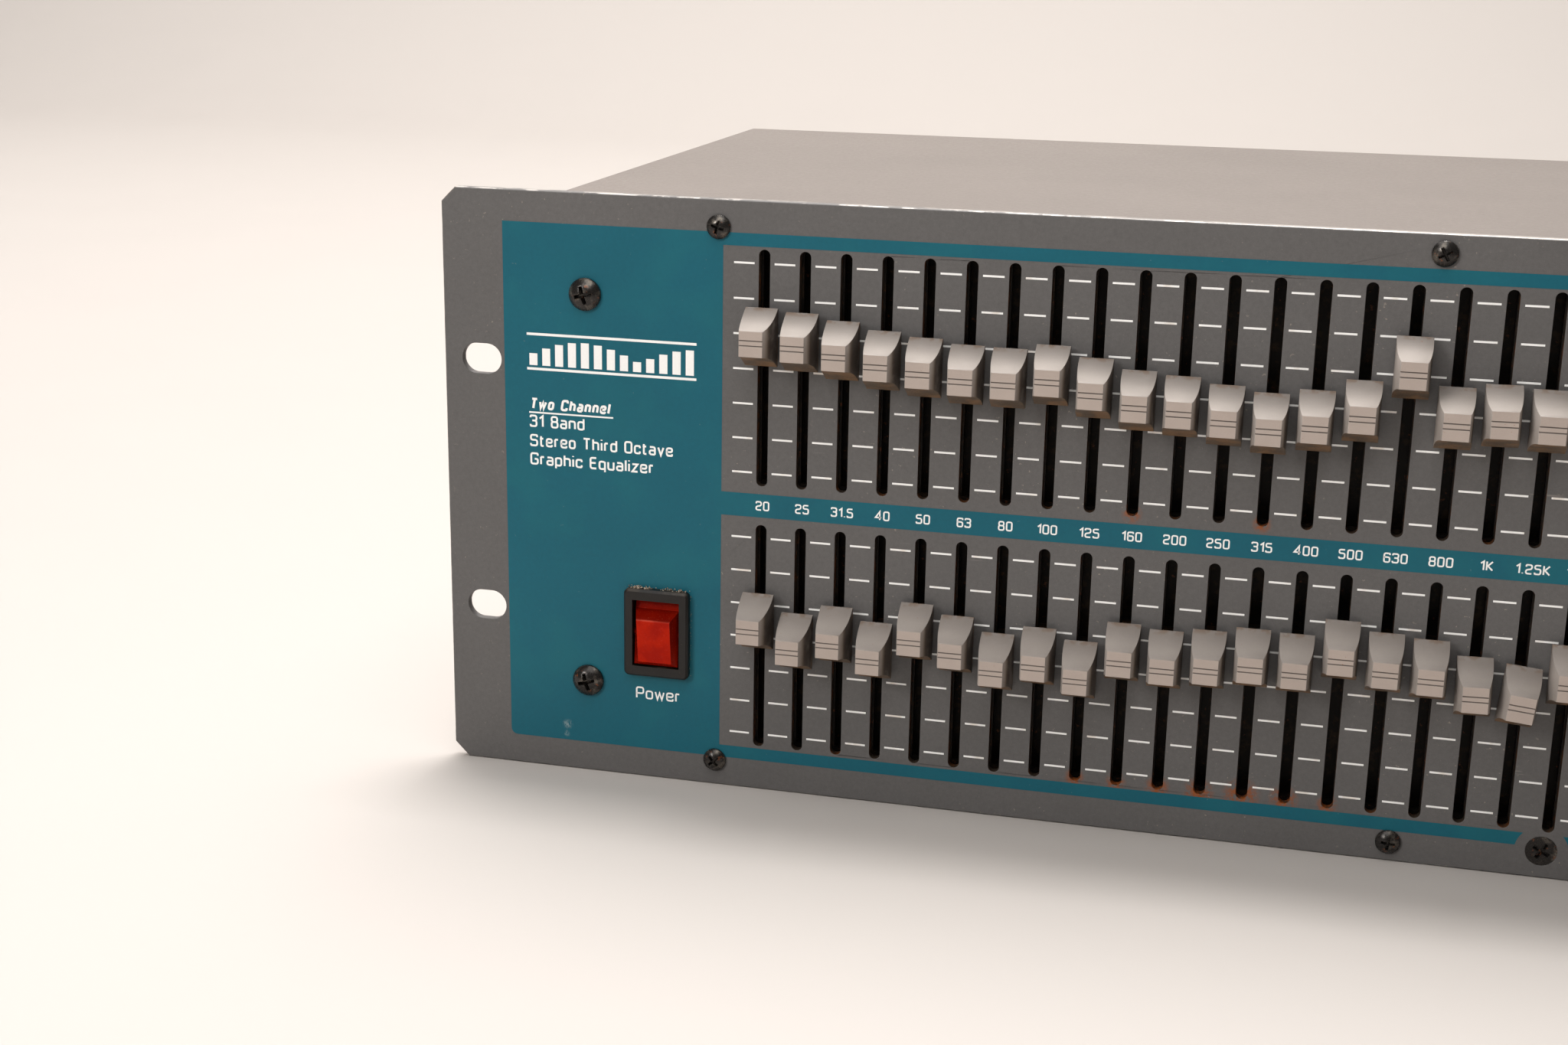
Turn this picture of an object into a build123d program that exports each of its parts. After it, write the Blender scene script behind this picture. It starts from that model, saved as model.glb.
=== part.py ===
from build123d import *
import os
from math import asin, atan2, cos, degrees, radians, sin

# A two-channel third-octave graphic equaliser for a 19 inch rack, three units high.
# Millimetres. +X is to the right seen from the front, +Y is towards the back, +Z is up.
# The origin is the centre of the four rack slots, on the rear face of the front panel.

os.makedirs("parts", exist_ok=True)

# ---------------------------------------------------------------- front panel
PANEL_WIDTH = 482.6
PANEL_HEIGHT = 132.55
PANEL_THICKNESS = 2.0
PANEL_CORNER = 3.3
PANEL_EDGE_BREAK = 0.25
FRONT_Y = -PANEL_THICKNESS

RACK_SPACING_X = 465.1
RACK_SPACING_Z = 57.15
RACK_SLOT_LENGTH = 9.2
RACK_SLOT_WIDTH = 6.8

# ---------------------------------------------------------------- fader grid
BANDS = [
    "20hz", "25hz", "31hz5", "40hz", "50hz", "63hz", "80hz", "100hz", "125hz", "160hz", "200hz",
    "250hz", "315hz", "400hz", "500hz", "630hz", "800hz", "1khz", "1khz25", "1khz6", "2khz",
    "2khz5", "3khz15", "4khz", "5khz", "6khz3", "8khz", "10khz", "12khz5", "16khz", "20khz",
]
SINGLE_BANDS = 18
COLUMN_PITCH = 8.89
FIRST_COLUMN_X = -168.1
COLUMN_X = [FIRST_COLUMN_X + COLUMN_PITCH * i for i in range(len(BANDS))]
ROW_Z = {1: 30.2, 2: -30.2}
FADER_SLOT_LENGTH = 51.6
FADER_SLOT_WIDTH = 2.4
# The printed scale has a line every 5 dB, and the lines are 7.62 mm apart.
MM_PER_DB = 7.62 / 5
# Where each fader stands at rest, in dB of boost or cut.
GAINS_DB = {
    1: [4.9, 4.5, 3.7, 2.7, 2.1, 1.5, 1.4, 2.2, 0.8, -0.5, -0.9, -1.7, -2.4, -1.6, 0.1, 6.3, 0.0, 0.7,
        0.4, 1.0, 1.5, 0.6, -0.4, -1.1, -1.6, -0.8, 0.2, 1.2, 1.9, 2.4, 2.8],
    2: [2.9, 0.4, 2.0, 0.2, 3.6, 2.3, 0.3, 1.7, 0.3, 3.5, 3.0, 3.6, 4.4, 4.2, 6.7, 5.5, 5.1, 3.3,
        2.6, 6.0, 4.0, 2.9, 3.4, 2.0, 1.4, 2.4, 3.1, 3.9, 2.7, 1.8, 1.0],
}
# Knobs that sit crooked in their slot: the angle about +Y in degrees, by channel and band.
CROOKED = {(2, "1khz25"): 5.5, (1, "1khz"): -1.0, (2, "1khz"): -1.5}

KNOB_GAP = 1.4
KNOB_DEPTH = 9.4
KNOB_BACK = FRONT_Y - KNOB_GAP
KNOB_FRONT = KNOB_BACK - KNOB_DEPTH
KNOB_BASE_WIDTH = 7.1
KNOB_BASE_HEIGHT = 12.5
KNOB_FACE_WIDTH = 5.1
KNOB_FACE_HEIGHT = 5.5
KNOB_SKIRT = 0.5
# The slopes above and below the face are scooped in. The sides swell out.
KNOB_SLOPE_SAG = 0.5
KNOB_SIDE_SAG = 0.3
KNOB_LINES_Z = [0.72, -0.35]
KNOB_LINE_WIDTH = 0.24
KNOB_LINE_DEPTH = 0.2

LEVER_WIDTH = 1.2
LEVER_HEIGHT = 4.5
LEVER_FRONT = KNOB_FRONT + 2.8
LEVER_FIT = 0.03
CARRIAGE_WIDTH = 4.6
CARRIAGE_HEIGHT = 8.0
CARRIAGE_DEPTH = 3.2
CARRIAGE_FRONT = 3.4

FRAME_WIDTH = 7.2
FRAME_LENGTH = 56.4
FRAME_FRONT = 1.6
FRAME_BACK = 9.2
FRAME_SLOT_WIDTH = 2.2
FRAME_SLOT_LENGTH = 51.0
FRAME_CAVITY = (5.8, 54.2)
FRAME_CAVITY_FRONT = 2.8
FRAME_CAVITY_BACK = 8.0

# ---------------------------------------------------------------- case
SHEET = 1.2
BODY_DEPTH = 157.0
COVER_WIDTH = 430.0
COVER_TOP = 66.0
COVER_BOTTOM = -66.0
COVER_BEND = 1.4
TRAY_WIDTH = COVER_WIDTH - 2 * SHEET - 0.4
FLOOR_Z = -PANEL_HEIGHT / 2
TRAY_TOP = COVER_TOP - SHEET - 0.2
SIDE_FLANGE_X = 201.4
FLANGE_Z = 57.2
COVER_FLANGE_WIDTH = 400.0
REAR_Y = BODY_DEPTH

# ---------------------------------------------------------------- screws
M3_SHANK = 1.45
M3_TAPPED = 1.5
M3_CLEAR = 1.7
M3_HEAD = 2.6
M3_HEAD_HEIGHT = 1.7
M3_LENGTH = 5.0
M4_SHANK = 1.95
M4_TAPPED = 2.0
M4_CLEAR = 2.2
M4_HEAD = 3.6
M4_HEAD_HEIGHT = 2.4
M4_LENGTH = 6.0
CSK_HEAD = 3.2
CSK_Z = 60.3
# Small pan heads along the top and bottom of the panel, then the large ones on the side flanges.
SMALL_SCREWS_X_Z = [
    (-178.2, 60.4), (-30.6, 62.4), (30.6, 62.4), (178.2, 60.4),
    (-178.2, -60.3), (-30.6, -61.9), (30.6, -61.9), (178.2, -60.3),
]
LARGE_SCREWS_X_Z = [(-208.2, 44.3), (-208.2, -44.3), (208.2, 44.3), (208.2, -44.3)]
COVER_SCREWS_Y_Z = [(24, -52), (78, -52), (134, -52), (24, 52), (134, 52)]

# ---------------------------------------------------------------- power switch
SWITCH_X = -191.7
SWITCH_Z = -31.35
BEZEL = (15.0, 20.4)
BEZEL_DEPTH = 2.0
BEZEL_OPENING = (10.9, 15.5)
SWITCH_BODY = (13.4, 19.0)
SWITCH_BODY_BACK = 17.0
SWITCH_CAVITY_BACK = 5.0
ROCKER_PIVOT_Y = -2.0
ROCKER_RADIUS = 7.5
ROCKER_WIDTH = 10.2
ROCKER_PIN = 1.0
ROCKER_PIN_FIT = 0.05
ROCKER_PIN_DEPTH = 6.3
# The rocker's profile, as (distance out from the pivot, height above it).
ROCKER_HEEL = -4.0
ROCKER_LIP = -0.3
ROCKER_CREASE = (0.3, 5.5)
ROCKER_FOOT = 1.5
PADDLE_RIDGE = (4.0, 3.8)
PADDLE_TOE = (2.6, -6.4)
PADDLE_WIDTH = 7.7

# ---------------------------------------------------------------- right-hand controls
CONTROL_KNOB_X = 139.0
EQ_BUTTON_X = 176.0
LED_X = [170.0, 176.0, 182.0]
CONTROL_KNOB_RADIUS = 8.5
CONTROL_SHAFT = 3.0
EQ_BUTTON_RADIUS = 4.0
EQ_BUTTON_TRAVEL = 2.5
LED_RADIUS = 1.5
LED_RISE = 15.0

# ---------------------------------------------------------------- rear connectors
XLR_FLANGE = (26.0, 31.0)
XLR_FLANGE_DEPTH = 2.0
XLR_BODY = 11.8
XLR_SCREW = (9.5, 12.0)
XLR_IN_X_Z = [(104.0, 28.0), (104.0, -26.0)]
XLR_OUT_X_Z = [(150.0, 28.0), (150.0, -26.0)]
INLET_X = -176.0
INLET_Z = -26.0
INLET_FLANGE = (50.0, 24.0)
INLET_SCREW_X = 20.0


def facing_front(x, y, z, turn=0):
    """Plane at a point, with local axes X and Z turned by an angle, whose normal is -Y."""
    return Plane(origin=(x, y, z), x_dir=(cos(radians(turn)), 0, sin(radians(turn))), z_dir=(0, -1, 0))


def facing_back(x, y, z, turn=0):
    """Plane at a point, with local axes -X and Z turned by an angle, whose normal is +Y."""
    return Plane(origin=(x, y, z), x_dir=(-cos(radians(turn)), 0, sin(radians(turn))), z_dir=(0, 1, 0))


def facing_side(x, y, z, side, turn=0):
    """Plane at a point whose normal points away from the case, along X times the side."""
    x_dir = (0, side * cos(radians(turn)), sin(radians(turn)))
    return Plane(origin=(x, y, z), x_dir=x_dir, z_dir=(side, 0, 0))


# ================================================================ front panel
BOARD_FRONT = FRAME_BACK
BOARD_SPACERS_X_Z = [(x, z) for x in (-176.5, 107.0) for z in (-50.0, 50.0)]
CONTROL_SPACERS_X_Z = [(x, z) for x in (118.5, 196.0) for z in (-50.0, 50.0)]

with BuildPart() as front_panel:
    with BuildSketch(facing_front(0, 0, 0)) as panel_outline:
        Rectangle(PANEL_WIDTH, PANEL_HEIGHT)
        chamfer(panel_outline.vertices(), PANEL_CORNER)
    extrude(amount=PANEL_THICKNESS)
    chamfer(front_panel.faces().sort_by(Axis.Y)[0].outer_wire().edges(), PANEL_EDGE_BREAK)
    # Four slots for the rack screws.
    with BuildSketch(facing_front(0, 0, 0)):
        with GridLocations(RACK_SPACING_X, RACK_SPACING_Z, 2, 2):
            SlotOverall(RACK_SLOT_LENGTH, RACK_SLOT_WIDTH)
    extrude(amount=PANEL_THICKNESS, mode=Mode.SUBTRACT)
    # Sixty-two upright slots, one for each fader's lever.
    with BuildSketch(facing_front(0, 0, 0)):
        with Locations([(x, z) for x in COLUMN_X for z in ROW_Z.values()]):
            SlotOverall(FADER_SLOT_LENGTH, FADER_SLOT_WIDTH, rotation=90)
    extrude(amount=PANEL_THICKNESS, mode=Mode.SUBTRACT)
    # Clearance holes for the pan-head screws, the level shafts, the buttons and the LEDs.
    with BuildSketch(facing_front(0, 0, 0)):
        with Locations(SMALL_SCREWS_X_Z):
            Circle(M3_CLEAR)
        with Locations(LARGE_SCREWS_X_Z):
            Circle(M4_CLEAR)
        for row in ROW_Z.values():
            with Locations((CONTROL_KNOB_X, row)):
                Circle(CONTROL_SHAFT + 0.5)
            with Locations((EQ_BUTTON_X, row)):
                Circle(EQ_BUTTON_RADIUS + 0.3)
            with Locations([(x, row + LED_RISE) for x in LED_X]):
                Circle(LED_RADIUS + 0.05)
    extrude(amount=PANEL_THICKNESS, mode=Mode.SUBTRACT)
    # The opening that the power switch snaps into.
    with BuildSketch(facing_front(SWITCH_X, 0, SWITCH_Z)):
        Rectangle(SWITCH_BODY[0] + 0.1, SWITCH_BODY[1] + 0.1)
    extrude(amount=PANEL_THICKNESS, mode=Mode.SUBTRACT)
    # Two countersunk holes on the centre line.
    for csk_z in (CSK_Z, -CSK_Z):
        with Locations(facing_front(0, FRONT_Y, csk_z)):
            CounterSinkHole(M3_CLEAR, CSK_HEAD + 0.05, PANEL_THICKNESS)
front_panel.part.label = "front_panel"
export_step(front_panel.part, "parts/front_panel.step")

# ================================================================ case
with BuildPart() as chassis_tray:
    with BuildSketch(Plane.XY.offset(FLOOR_Z)):
        with Locations((0, BODY_DEPTH / 2)):
            Rectangle(TRAY_WIDTH, BODY_DEPTH)
    extrude(amount=TRAY_TOP - FLOOR_Z)
    floor_edges = chassis_tray.edges().group_by(Axis.Z)[0]
    fillet(floor_edges.sort_by(Axis.Y)[1:], COVER_BEND)
    with BuildSketch(Plane.XY.offset(FLOOR_Z + SHEET)):
        with Locations((0, BODY_DEPTH / 2)):
            Rectangle(TRAY_WIDTH - 2 * SHEET, BODY_DEPTH - 2 * SHEET)
    extrude(amount=TRAY_TOP - FLOOR_Z, mode=Mode.SUBTRACT)
    # The front wall is cut away, which leaves a flange along the floor and up each side.
    with BuildSketch(facing_front(0, SHEET, 0)):
        with Locations((0, -FLANGE_Z)):
            Rectangle(2 * SIDE_FLANGE_X, 2 * PANEL_HEIGHT, align=(Align.CENTER, Align.MIN))
    extrude(amount=SHEET, mode=Mode.SUBTRACT)
    # Threaded holes for the panel's lower screws and for its large side screws.
    with BuildSketch(facing_front(0, SHEET, 0)):
        with Locations([(x, z) for x, z in SMALL_SCREWS_X_Z if z < 0] + [(0, -CSK_Z)]):
            Circle(M3_TAPPED)
        with Locations(LARGE_SCREWS_X_Z):
            Circle(M4_TAPPED)
    extrude(amount=SHEET, mode=Mode.SUBTRACT)
    # Threaded holes for the cover's side screws.
    for side in (-1, 1):
        with BuildSketch(facing_side(side * TRAY_WIDTH / 2, 0, 0, side)):
            with Locations([(side * y, z) for y, z in COVER_SCREWS_Y_Z]):
                Circle(M3_TAPPED)
        extrude(amount=-SHEET, mode=Mode.SUBTRACT)
    # Openings for the connectors in the rear wall. The sketch's x runs towards -X.
    with BuildSketch(facing_back(0, REAR_Y, 0)):
        with Locations([(-x, z) for x, z in XLR_IN_X_Z + XLR_OUT_X_Z]):
            Circle(XLR_BODY + 0.2)
            with Locations((XLR_SCREW[0], XLR_SCREW[1]), (-XLR_SCREW[0], -XLR_SCREW[1])):
                Circle(M3_TAPPED)
        with Locations((-INLET_X, INLET_Z)):
            Rectangle(28.2, 20.4)
            with Locations((-INLET_SCREW_X, 0), (INLET_SCREW_X, 0)):
                Circle(M3_TAPPED)
    extrude(amount=-SHEET, mode=Mode.SUBTRACT)
chassis_tray.part.label = "chassis_tray"
export_step(chassis_tray.part, "parts/chassis_tray.step")

with BuildPart() as top_cover:
    with BuildSketch(Plane.XY.offset(COVER_BOTTOM)):
        with Locations((0, BODY_DEPTH / 2)):
            Rectangle(COVER_WIDTH, BODY_DEPTH)
    extrude(amount=COVER_TOP - COVER_BOTTOM)
    top_edges = top_cover.edges().group_by(Axis.Z)[-1]
    fillet(top_edges.sort_by(Axis.Y)[:-1], COVER_BEND)
    with BuildSketch(Plane.XY.offset(COVER_BOTTOM)):
        with Locations((0, SHEET)):
            Rectangle(COVER_WIDTH - 2 * SHEET, BODY_DEPTH, align=(Align.CENTER, Align.MIN))
    extrude(amount=COVER_TOP - COVER_BOTTOM - SHEET, mode=Mode.SUBTRACT)
    # Of the front wall only a flange under the top is left.
    with BuildSketch(facing_front(0, SHEET, 0)):
        with Locations((0, FLANGE_Z)):
            Rectangle(COVER_WIDTH - 2 * SHEET, PANEL_HEIGHT, align=(Align.CENTER, Align.MAX))
        for side in (-1, 1):
            with Locations((side * COVER_WIDTH / 2, COVER_TOP - SHEET)):
                Rectangle(COVER_WIDTH - COVER_FLANGE_WIDTH, PANEL_HEIGHT, align=(Align.CENTER, Align.MAX))
    extrude(amount=SHEET, mode=Mode.SUBTRACT)
    with BuildSketch(facing_front(0, SHEET, 0)):
        with Locations([(x, z) for x, z in SMALL_SCREWS_X_Z if z > 0] + [(0, CSK_Z)]):
            Circle(M3_TAPPED)
    extrude(amount=SHEET, mode=Mode.SUBTRACT)
    for side in (-1, 1):
        with BuildSketch(facing_side(side * COVER_WIDTH / 2, 0, 0, side)):
            with Locations([(side * y, z) for y, z in COVER_SCREWS_Y_Z]):
                Circle(M3_CLEAR)
        extrude(amount=-SHEET, mode=Mode.SUBTRACT)
top_cover.part.label = "top_cover"
export_step(top_cover.part, "parts/top_cover.step")


# ================================================================ screws
def pan_head_screw(head_radius, head_height, shank_radius, length):
    """Domed head with a cross recess above the local XY plane, and a shank below it."""
    rim_height = head_height * 0.3
    dome_height = head_height - rim_height
    dome_radius = (dome_height ** 2 + head_radius ** 2) / (2 * dome_height)
    dome_angle = degrees(asin(head_radius / dome_radius))
    with BuildPart() as screw:
        with BuildSketch(Plane.XZ):
            with BuildLine():
                Polyline((0, head_height), (0, -length), (shank_radius, -length), (shank_radius, 0),
                         (head_radius, 0), (head_radius, rim_height))
                CenterArc((0, head_height - dome_radius), dome_radius, 90 - dome_angle, dome_angle)
            make_face()
        revolve(axis=Axis.Z)
        with BuildSketch(Plane.XY.offset(head_height)):
            Rectangle(head_radius * 1.15, head_radius * 0.26)
            Rectangle(head_radius * 0.26, head_radius * 1.15)
        extrude(amount=-head_height * 0.75, taper=8, mode=Mode.SUBTRACT)
    return screw.part


def countersunk_screw(head_radius, shank_radius, length):
    """Flat head flush with the local XY plane, with a cross recess and the shank below."""
    with BuildPart() as screw:
        with BuildSketch(Plane.XZ):
            with BuildLine():
                Polyline((0, 0), (0, -length), (shank_radius, -length),
                         (shank_radius, shank_radius - head_radius), (head_radius, -0.03),
                         (head_radius, 0), (0, 0))
            make_face()
        revolve(axis=Axis.Z)
        with BuildSketch(Plane.XY):
            Rectangle(head_radius * 1.15, head_radius * 0.28)
            Rectangle(head_radius * 0.28, head_radius * 1.15)
        extrude(amount=-1.1, taper=8, mode=Mode.SUBTRACT)
    return screw.part


m3_screw = pan_head_screw(M3_HEAD, M3_HEAD_HEIGHT, M3_SHANK, M3_LENGTH)
m4_screw = pan_head_screw(M4_HEAD, M4_HEAD_HEIGHT, M4_SHANK, M4_LENGTH)
flat_screw = countersunk_screw(CSK_HEAD, M3_SHANK, M3_LENGTH + PANEL_THICKNESS)

with BuildPart() as pan_screws_m3:
    for x, z in SMALL_SCREWS_X_Z:
        with Locations(facing_front(x, FRONT_Y, z, 7 * x + z)):
            add(m3_screw)
    for side in (-1, 1):
        for y, z in COVER_SCREWS_Y_Z:
            with Locations(facing_side(side * COVER_WIDTH / 2, y, z, side, y)):
                add(m3_screw)
    for x, z in XLR_IN_X_Z + XLR_OUT_X_Z:
        for dx, dz in ((-XLR_SCREW[0], XLR_SCREW[1]), (XLR_SCREW[0], -XLR_SCREW[1])):
            with Locations(facing_back(x + dx, REAR_Y + XLR_FLANGE_DEPTH, z + dz, x + z)):
                add(m3_screw)
    for dx in (-INLET_SCREW_X, INLET_SCREW_X):
        with Locations(facing_back(INLET_X + dx, REAR_Y + XLR_FLANGE_DEPTH, INLET_Z)):
            add(m3_screw)
pan_screws_m3.part.label = "pan_screws_m3"
export_step(pan_screws_m3.part, "parts/pan_screws_m3.step")

with BuildPart() as pan_screws_m4:
    for x, z in LARGE_SCREWS_X_Z:
        with Locations(facing_front(x, FRONT_Y, z, x + z)):
            add(m4_screw)
pan_screws_m4.part.label = "pan_screws_m4"
export_step(pan_screws_m4.part, "parts/pan_screws_m4.step")

with BuildPart() as countersunk_screws:
    for z in (CSK_Z, -CSK_Z):
        with Locations(facing_front(0, FRONT_Y, z, z / 2)):
            add(flat_screw)
countersunk_screws.part.label = "countersunk_screws"
export_step(countersunk_screws.part, "parts/countersunk_screws.step")

# ================================================================ power switch
with BuildPart() as power_switch_housing:
    with BuildSketch(facing_front(SWITCH_X, FRONT_Y, SWITCH_Z)):
        RectangleRounded(*BEZEL, 1.2)
    extrude(amount=BEZEL_DEPTH)
    chamfer(power_switch_housing.faces().sort_by(Axis.Y)[0].outer_wire().edges(), 0.5)
    with BuildSketch(facing_front(SWITCH_X, FRONT_Y, SWITCH_Z)):
        Rectangle(*SWITCH_BODY)
    extrude(amount=FRONT_Y - SWITCH_BODY_BACK)
    # The well that the rocker swings in, and the cross hole for its pivot pins.
    with BuildSketch(facing_front(SWITCH_X, FRONT_Y - BEZEL_DEPTH, SWITCH_Z)):
        Rectangle(*BEZEL_OPENING)
    extrude(amount=FRONT_Y - BEZEL_DEPTH - SWITCH_CAVITY_BACK, mode=Mode.SUBTRACT)
    with BuildSketch(Plane.YZ.offset(SWITCH_X)):
        with Locations((ROCKER_PIVOT_Y, SWITCH_Z)):
            Circle(ROCKER_PIN + ROCKER_PIN_FIT)
    extrude(amount=ROCKER_PIN_DEPTH, both=True, mode=Mode.SUBTRACT)
    # Three blade terminals at the back.
    with BuildSketch(facing_front(SWITCH_X, SWITCH_BODY_BACK, SWITCH_Z)):
        with GridLocations(1, 6.5, 1, 3):
            Rectangle(4.75, 0.8)
    extrude(amount=-7.0)
power_switch_housing.part.label = "power_switch_housing"
export_step(power_switch_housing.part, "parts/power_switch_housing.step")



def rim(out):
    """Height of the rocker's round ends at a distance out from the pivot."""
    return (ROCKER_RADIUS ** 2 - out ** 2) ** 0.5


def rocker_face(top, bottom):
    """Middle plane and length of the rocker's face between two points of its profile."""
    rise = top[1] - bottom[1]
    lean = atan2(bottom[0] - top[0], rise)
    y = ROCKER_PIVOT_Y - (top[0] + bottom[0]) / 2
    z = SWITCH_Z + (top[1] + bottom[1]) / 2
    plane = Plane(origin=(SWITCH_X, y, z), x_dir=(1, 0, 0), z_dir=(0, -cos(lean), sin(lean)))
    return plane, rise / cos(lean)


# The rocker rests with its top pressed in. The paddle on its lower part has sloped flanks.
with BuildPart() as power_rocker:
    pivot = Plane(origin=(SWITCH_X, ROCKER_PIVOT_Y, SWITCH_Z), x_dir=(0, -1, 0), z_dir=(-1, 0, 0))
    top_middle = (ROCKER_HEEL + ROCKER_LIP) / 2
    foot_middle = (ROCKER_HEEL + ROCKER_FOOT) / 2
    foot = (ROCKER_FOOT, -rim(ROCKER_FOOT))
    with BuildSketch(pivot):
        with BuildLine():
            Line((ROCKER_HEEL, -rim(ROCKER_HEEL)), (ROCKER_HEEL, rim(ROCKER_HEEL)))
            ThreePointArc(
                (ROCKER_HEEL, rim(ROCKER_HEEL)), (top_middle, rim(top_middle)), (ROCKER_LIP, rim(ROCKER_LIP))
            )
            Polyline((ROCKER_LIP, rim(ROCKER_LIP)), ROCKER_CREASE, foot)
            ThreePointArc(foot, (foot_middle, -rim(foot_middle)), (ROCKER_HEEL, -rim(ROCKER_HEEL)))
        make_face()
    extrude(amount=ROCKER_WIDTH / 2, both=True)
    for top, bottom, width in (
        (ROCKER_CREASE, foot, ROCKER_WIDTH),
        (PADDLE_RIDGE, PADDLE_TOE, PADDLE_WIDTH),
    ):
        plane, length = rocker_face(top, bottom)
        with BuildSketch(plane):
            Rectangle(width, length)
    loft(ruled=True)
    with BuildSketch(Plane.YZ.offset(SWITCH_X)):
        with Locations((ROCKER_PIVOT_Y, SWITCH_Z)):
            Circle(ROCKER_PIN)
    extrude(amount=ROCKER_PIN_DEPTH - 0.1, both=True)
power_rocker.part.label = "power_rocker"
export_step(power_rocker.part, "parts/power_rocker.step")

# ================================================================ faders
# One fader about the origin: a push-on knob, and the lever with its wiper carriage.
with BuildPart() as fader_pattern:
    with BuildSketch(Plane.YZ):
        with BuildLine():
            half_base = KNOB_BASE_HEIGHT / 2
            half_face = KNOB_FACE_HEIGHT / 2
            skirt_front = KNOB_BACK - KNOB_SKIRT
            Polyline((skirt_front, half_base), (KNOB_BACK, half_base), (KNOB_BACK, -half_base),
                     (skirt_front, -half_base))
            SagittaArc((skirt_front, -half_base), (KNOB_FRONT, -half_face), -KNOB_SLOPE_SAG)
            Line((KNOB_FRONT, -half_face), (KNOB_FRONT, half_face))
            SagittaArc((KNOB_FRONT, half_face), (skirt_front, half_base), -KNOB_SLOPE_SAG)
        make_face()
    extrude(amount=KNOB_BASE_WIDTH / 2, both=True)
    with BuildSketch(Plane.XY):
        with BuildLine():
            half_base = KNOB_BASE_WIDTH / 2
            half_face = KNOB_FACE_WIDTH / 2
            Polyline((-half_base, skirt_front), (-half_base, KNOB_BACK), (half_base, KNOB_BACK),
                     (half_base, skirt_front))
            SagittaArc((half_base, skirt_front), (half_face, KNOB_FRONT), KNOB_SIDE_SAG)
            Line((half_face, KNOB_FRONT), (-half_face, KNOB_FRONT))
            SagittaArc((-half_face, KNOB_FRONT), (-half_base, skirt_front), KNOB_SIDE_SAG)
        make_face()
    extrude(amount=KNOB_BASE_HEIGHT / 2, both=True, mode=Mode.INTERSECT)
    # Two fine lines across the face.
    with BuildSketch(facing_front(0, KNOB_FRONT, 0)):
        with Locations([(0, z) for z in KNOB_LINES_Z]):
            Rectangle(KNOB_BASE_WIDTH, KNOB_LINE_WIDTH)
    extrude(amount=-KNOB_LINE_DEPTH, mode=Mode.SUBTRACT)
    # The socket for the lever.
    with BuildSketch(facing_front(0, KNOB_BACK, 0)):
        Rectangle(LEVER_WIDTH + 2 * LEVER_FIT, LEVER_HEIGHT + 2 * LEVER_FIT)
    extrude(amount=KNOB_BACK - LEVER_FRONT + LEVER_FIT, mode=Mode.SUBTRACT)
    # The lever, and the carriage that it stands on.
    with BuildSketch(facing_front(0, CARRIAGE_FRONT, 0)):
        Rectangle(LEVER_WIDTH, LEVER_HEIGHT)
    extrude(amount=CARRIAGE_FRONT - LEVER_FRONT)
    with BuildSketch(facing_front(0, CARRIAGE_FRONT, 0)):
        Rectangle(CARRIAGE_WIDTH, CARRIAGE_HEIGHT)
    extrude(amount=-CARRIAGE_DEPTH)


def fader_place(channel, band):
    """Where the fader of a band stands at rest."""
    x = COLUMN_X[BANDS.index(band)]
    z = ROW_Z[channel] + MM_PER_DB * GAINS_DB[channel][BANDS.index(band)]
    return Location((x, 0, z), (0, CROOKED.get((channel, band), 0), 0))


for channel in (1, 2):
    for band in BANDS[:SINGLE_BANDS]:
        with BuildPart() as fader:
            with Locations(fader_place(channel, band)):
                add(fader_pattern.part)
        fader.part.label = f"fader_ch{channel}_{band}"
        export_step(fader.part, f"parts/{fader.part.label}.step")
    # The bands above these share one node for each channel.
    with BuildPart() as high_faders:
        for band in BANDS[SINGLE_BANDS:]:
            with Locations(fader_place(channel, band)):
                add(fader_pattern.part)
    high_faders.part.label = f"faders_ch{channel}_high_bands"
    export_step(high_faders.part, f"parts/{high_faders.part.label}.step")

with BuildPart() as fader_frames:
    frame_places = [(x, z) for x in COLUMN_X for z in ROW_Z.values()]
    with BuildSketch(facing_front(0, FRAME_FRONT, 0)):
        with Locations(frame_places):
            Rectangle(FRAME_WIDTH, FRAME_LENGTH)
    extrude(amount=FRAME_FRONT - FRAME_BACK)
    with BuildSketch(facing_front(0, FRAME_CAVITY_FRONT, 0)):
        with Locations(frame_places):
            Rectangle(*FRAME_CAVITY)
    extrude(amount=FRAME_CAVITY_FRONT - FRAME_CAVITY_BACK, mode=Mode.SUBTRACT)
    with BuildSketch(facing_front(0, FRAME_FRONT, 0)):
        with Locations(frame_places):
            Rectangle(FRAME_SLOT_WIDTH, FRAME_SLOT_LENGTH)
    extrude(amount=FRAME_FRONT - FRAME_CAVITY_FRONT, mode=Mode.SUBTRACT)
fader_frames.part.label = "fader_frames"
export_step(fader_frames.part, "parts/fader_frames.step")

with BuildPart() as fader_board:
    with BuildSketch(facing_front(0, BOARD_FRONT, 0)):
        with Locations(((-181.0 + 111.5) / 2, 0)):
            Rectangle(292.5, 123.0)
    extrude(amount=-1.6)
    # Spacers that hold the board off the back of the panel.
    with BuildSketch(facing_front(0, BOARD_FRONT, 0)):
        with Locations(BOARD_SPACERS_X_Z):
            Circle(2.2)
    extrude(amount=BOARD_FRONT)
    # Operational amplifiers and filter capacitors on the back of the board.
    with BuildSketch(facing_front(0, BOARD_FRONT + 1.6, 0)):
        with Locations((-35, 0)):
            with GridLocations(17.78, 24.0, 15, 4):
                Rectangle(6.4, 9.6)
    extrude(amount=-3.4)
fader_board.part.label = "fader_board"
export_step(fader_board.part, "parts/fader_board.step")

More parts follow.
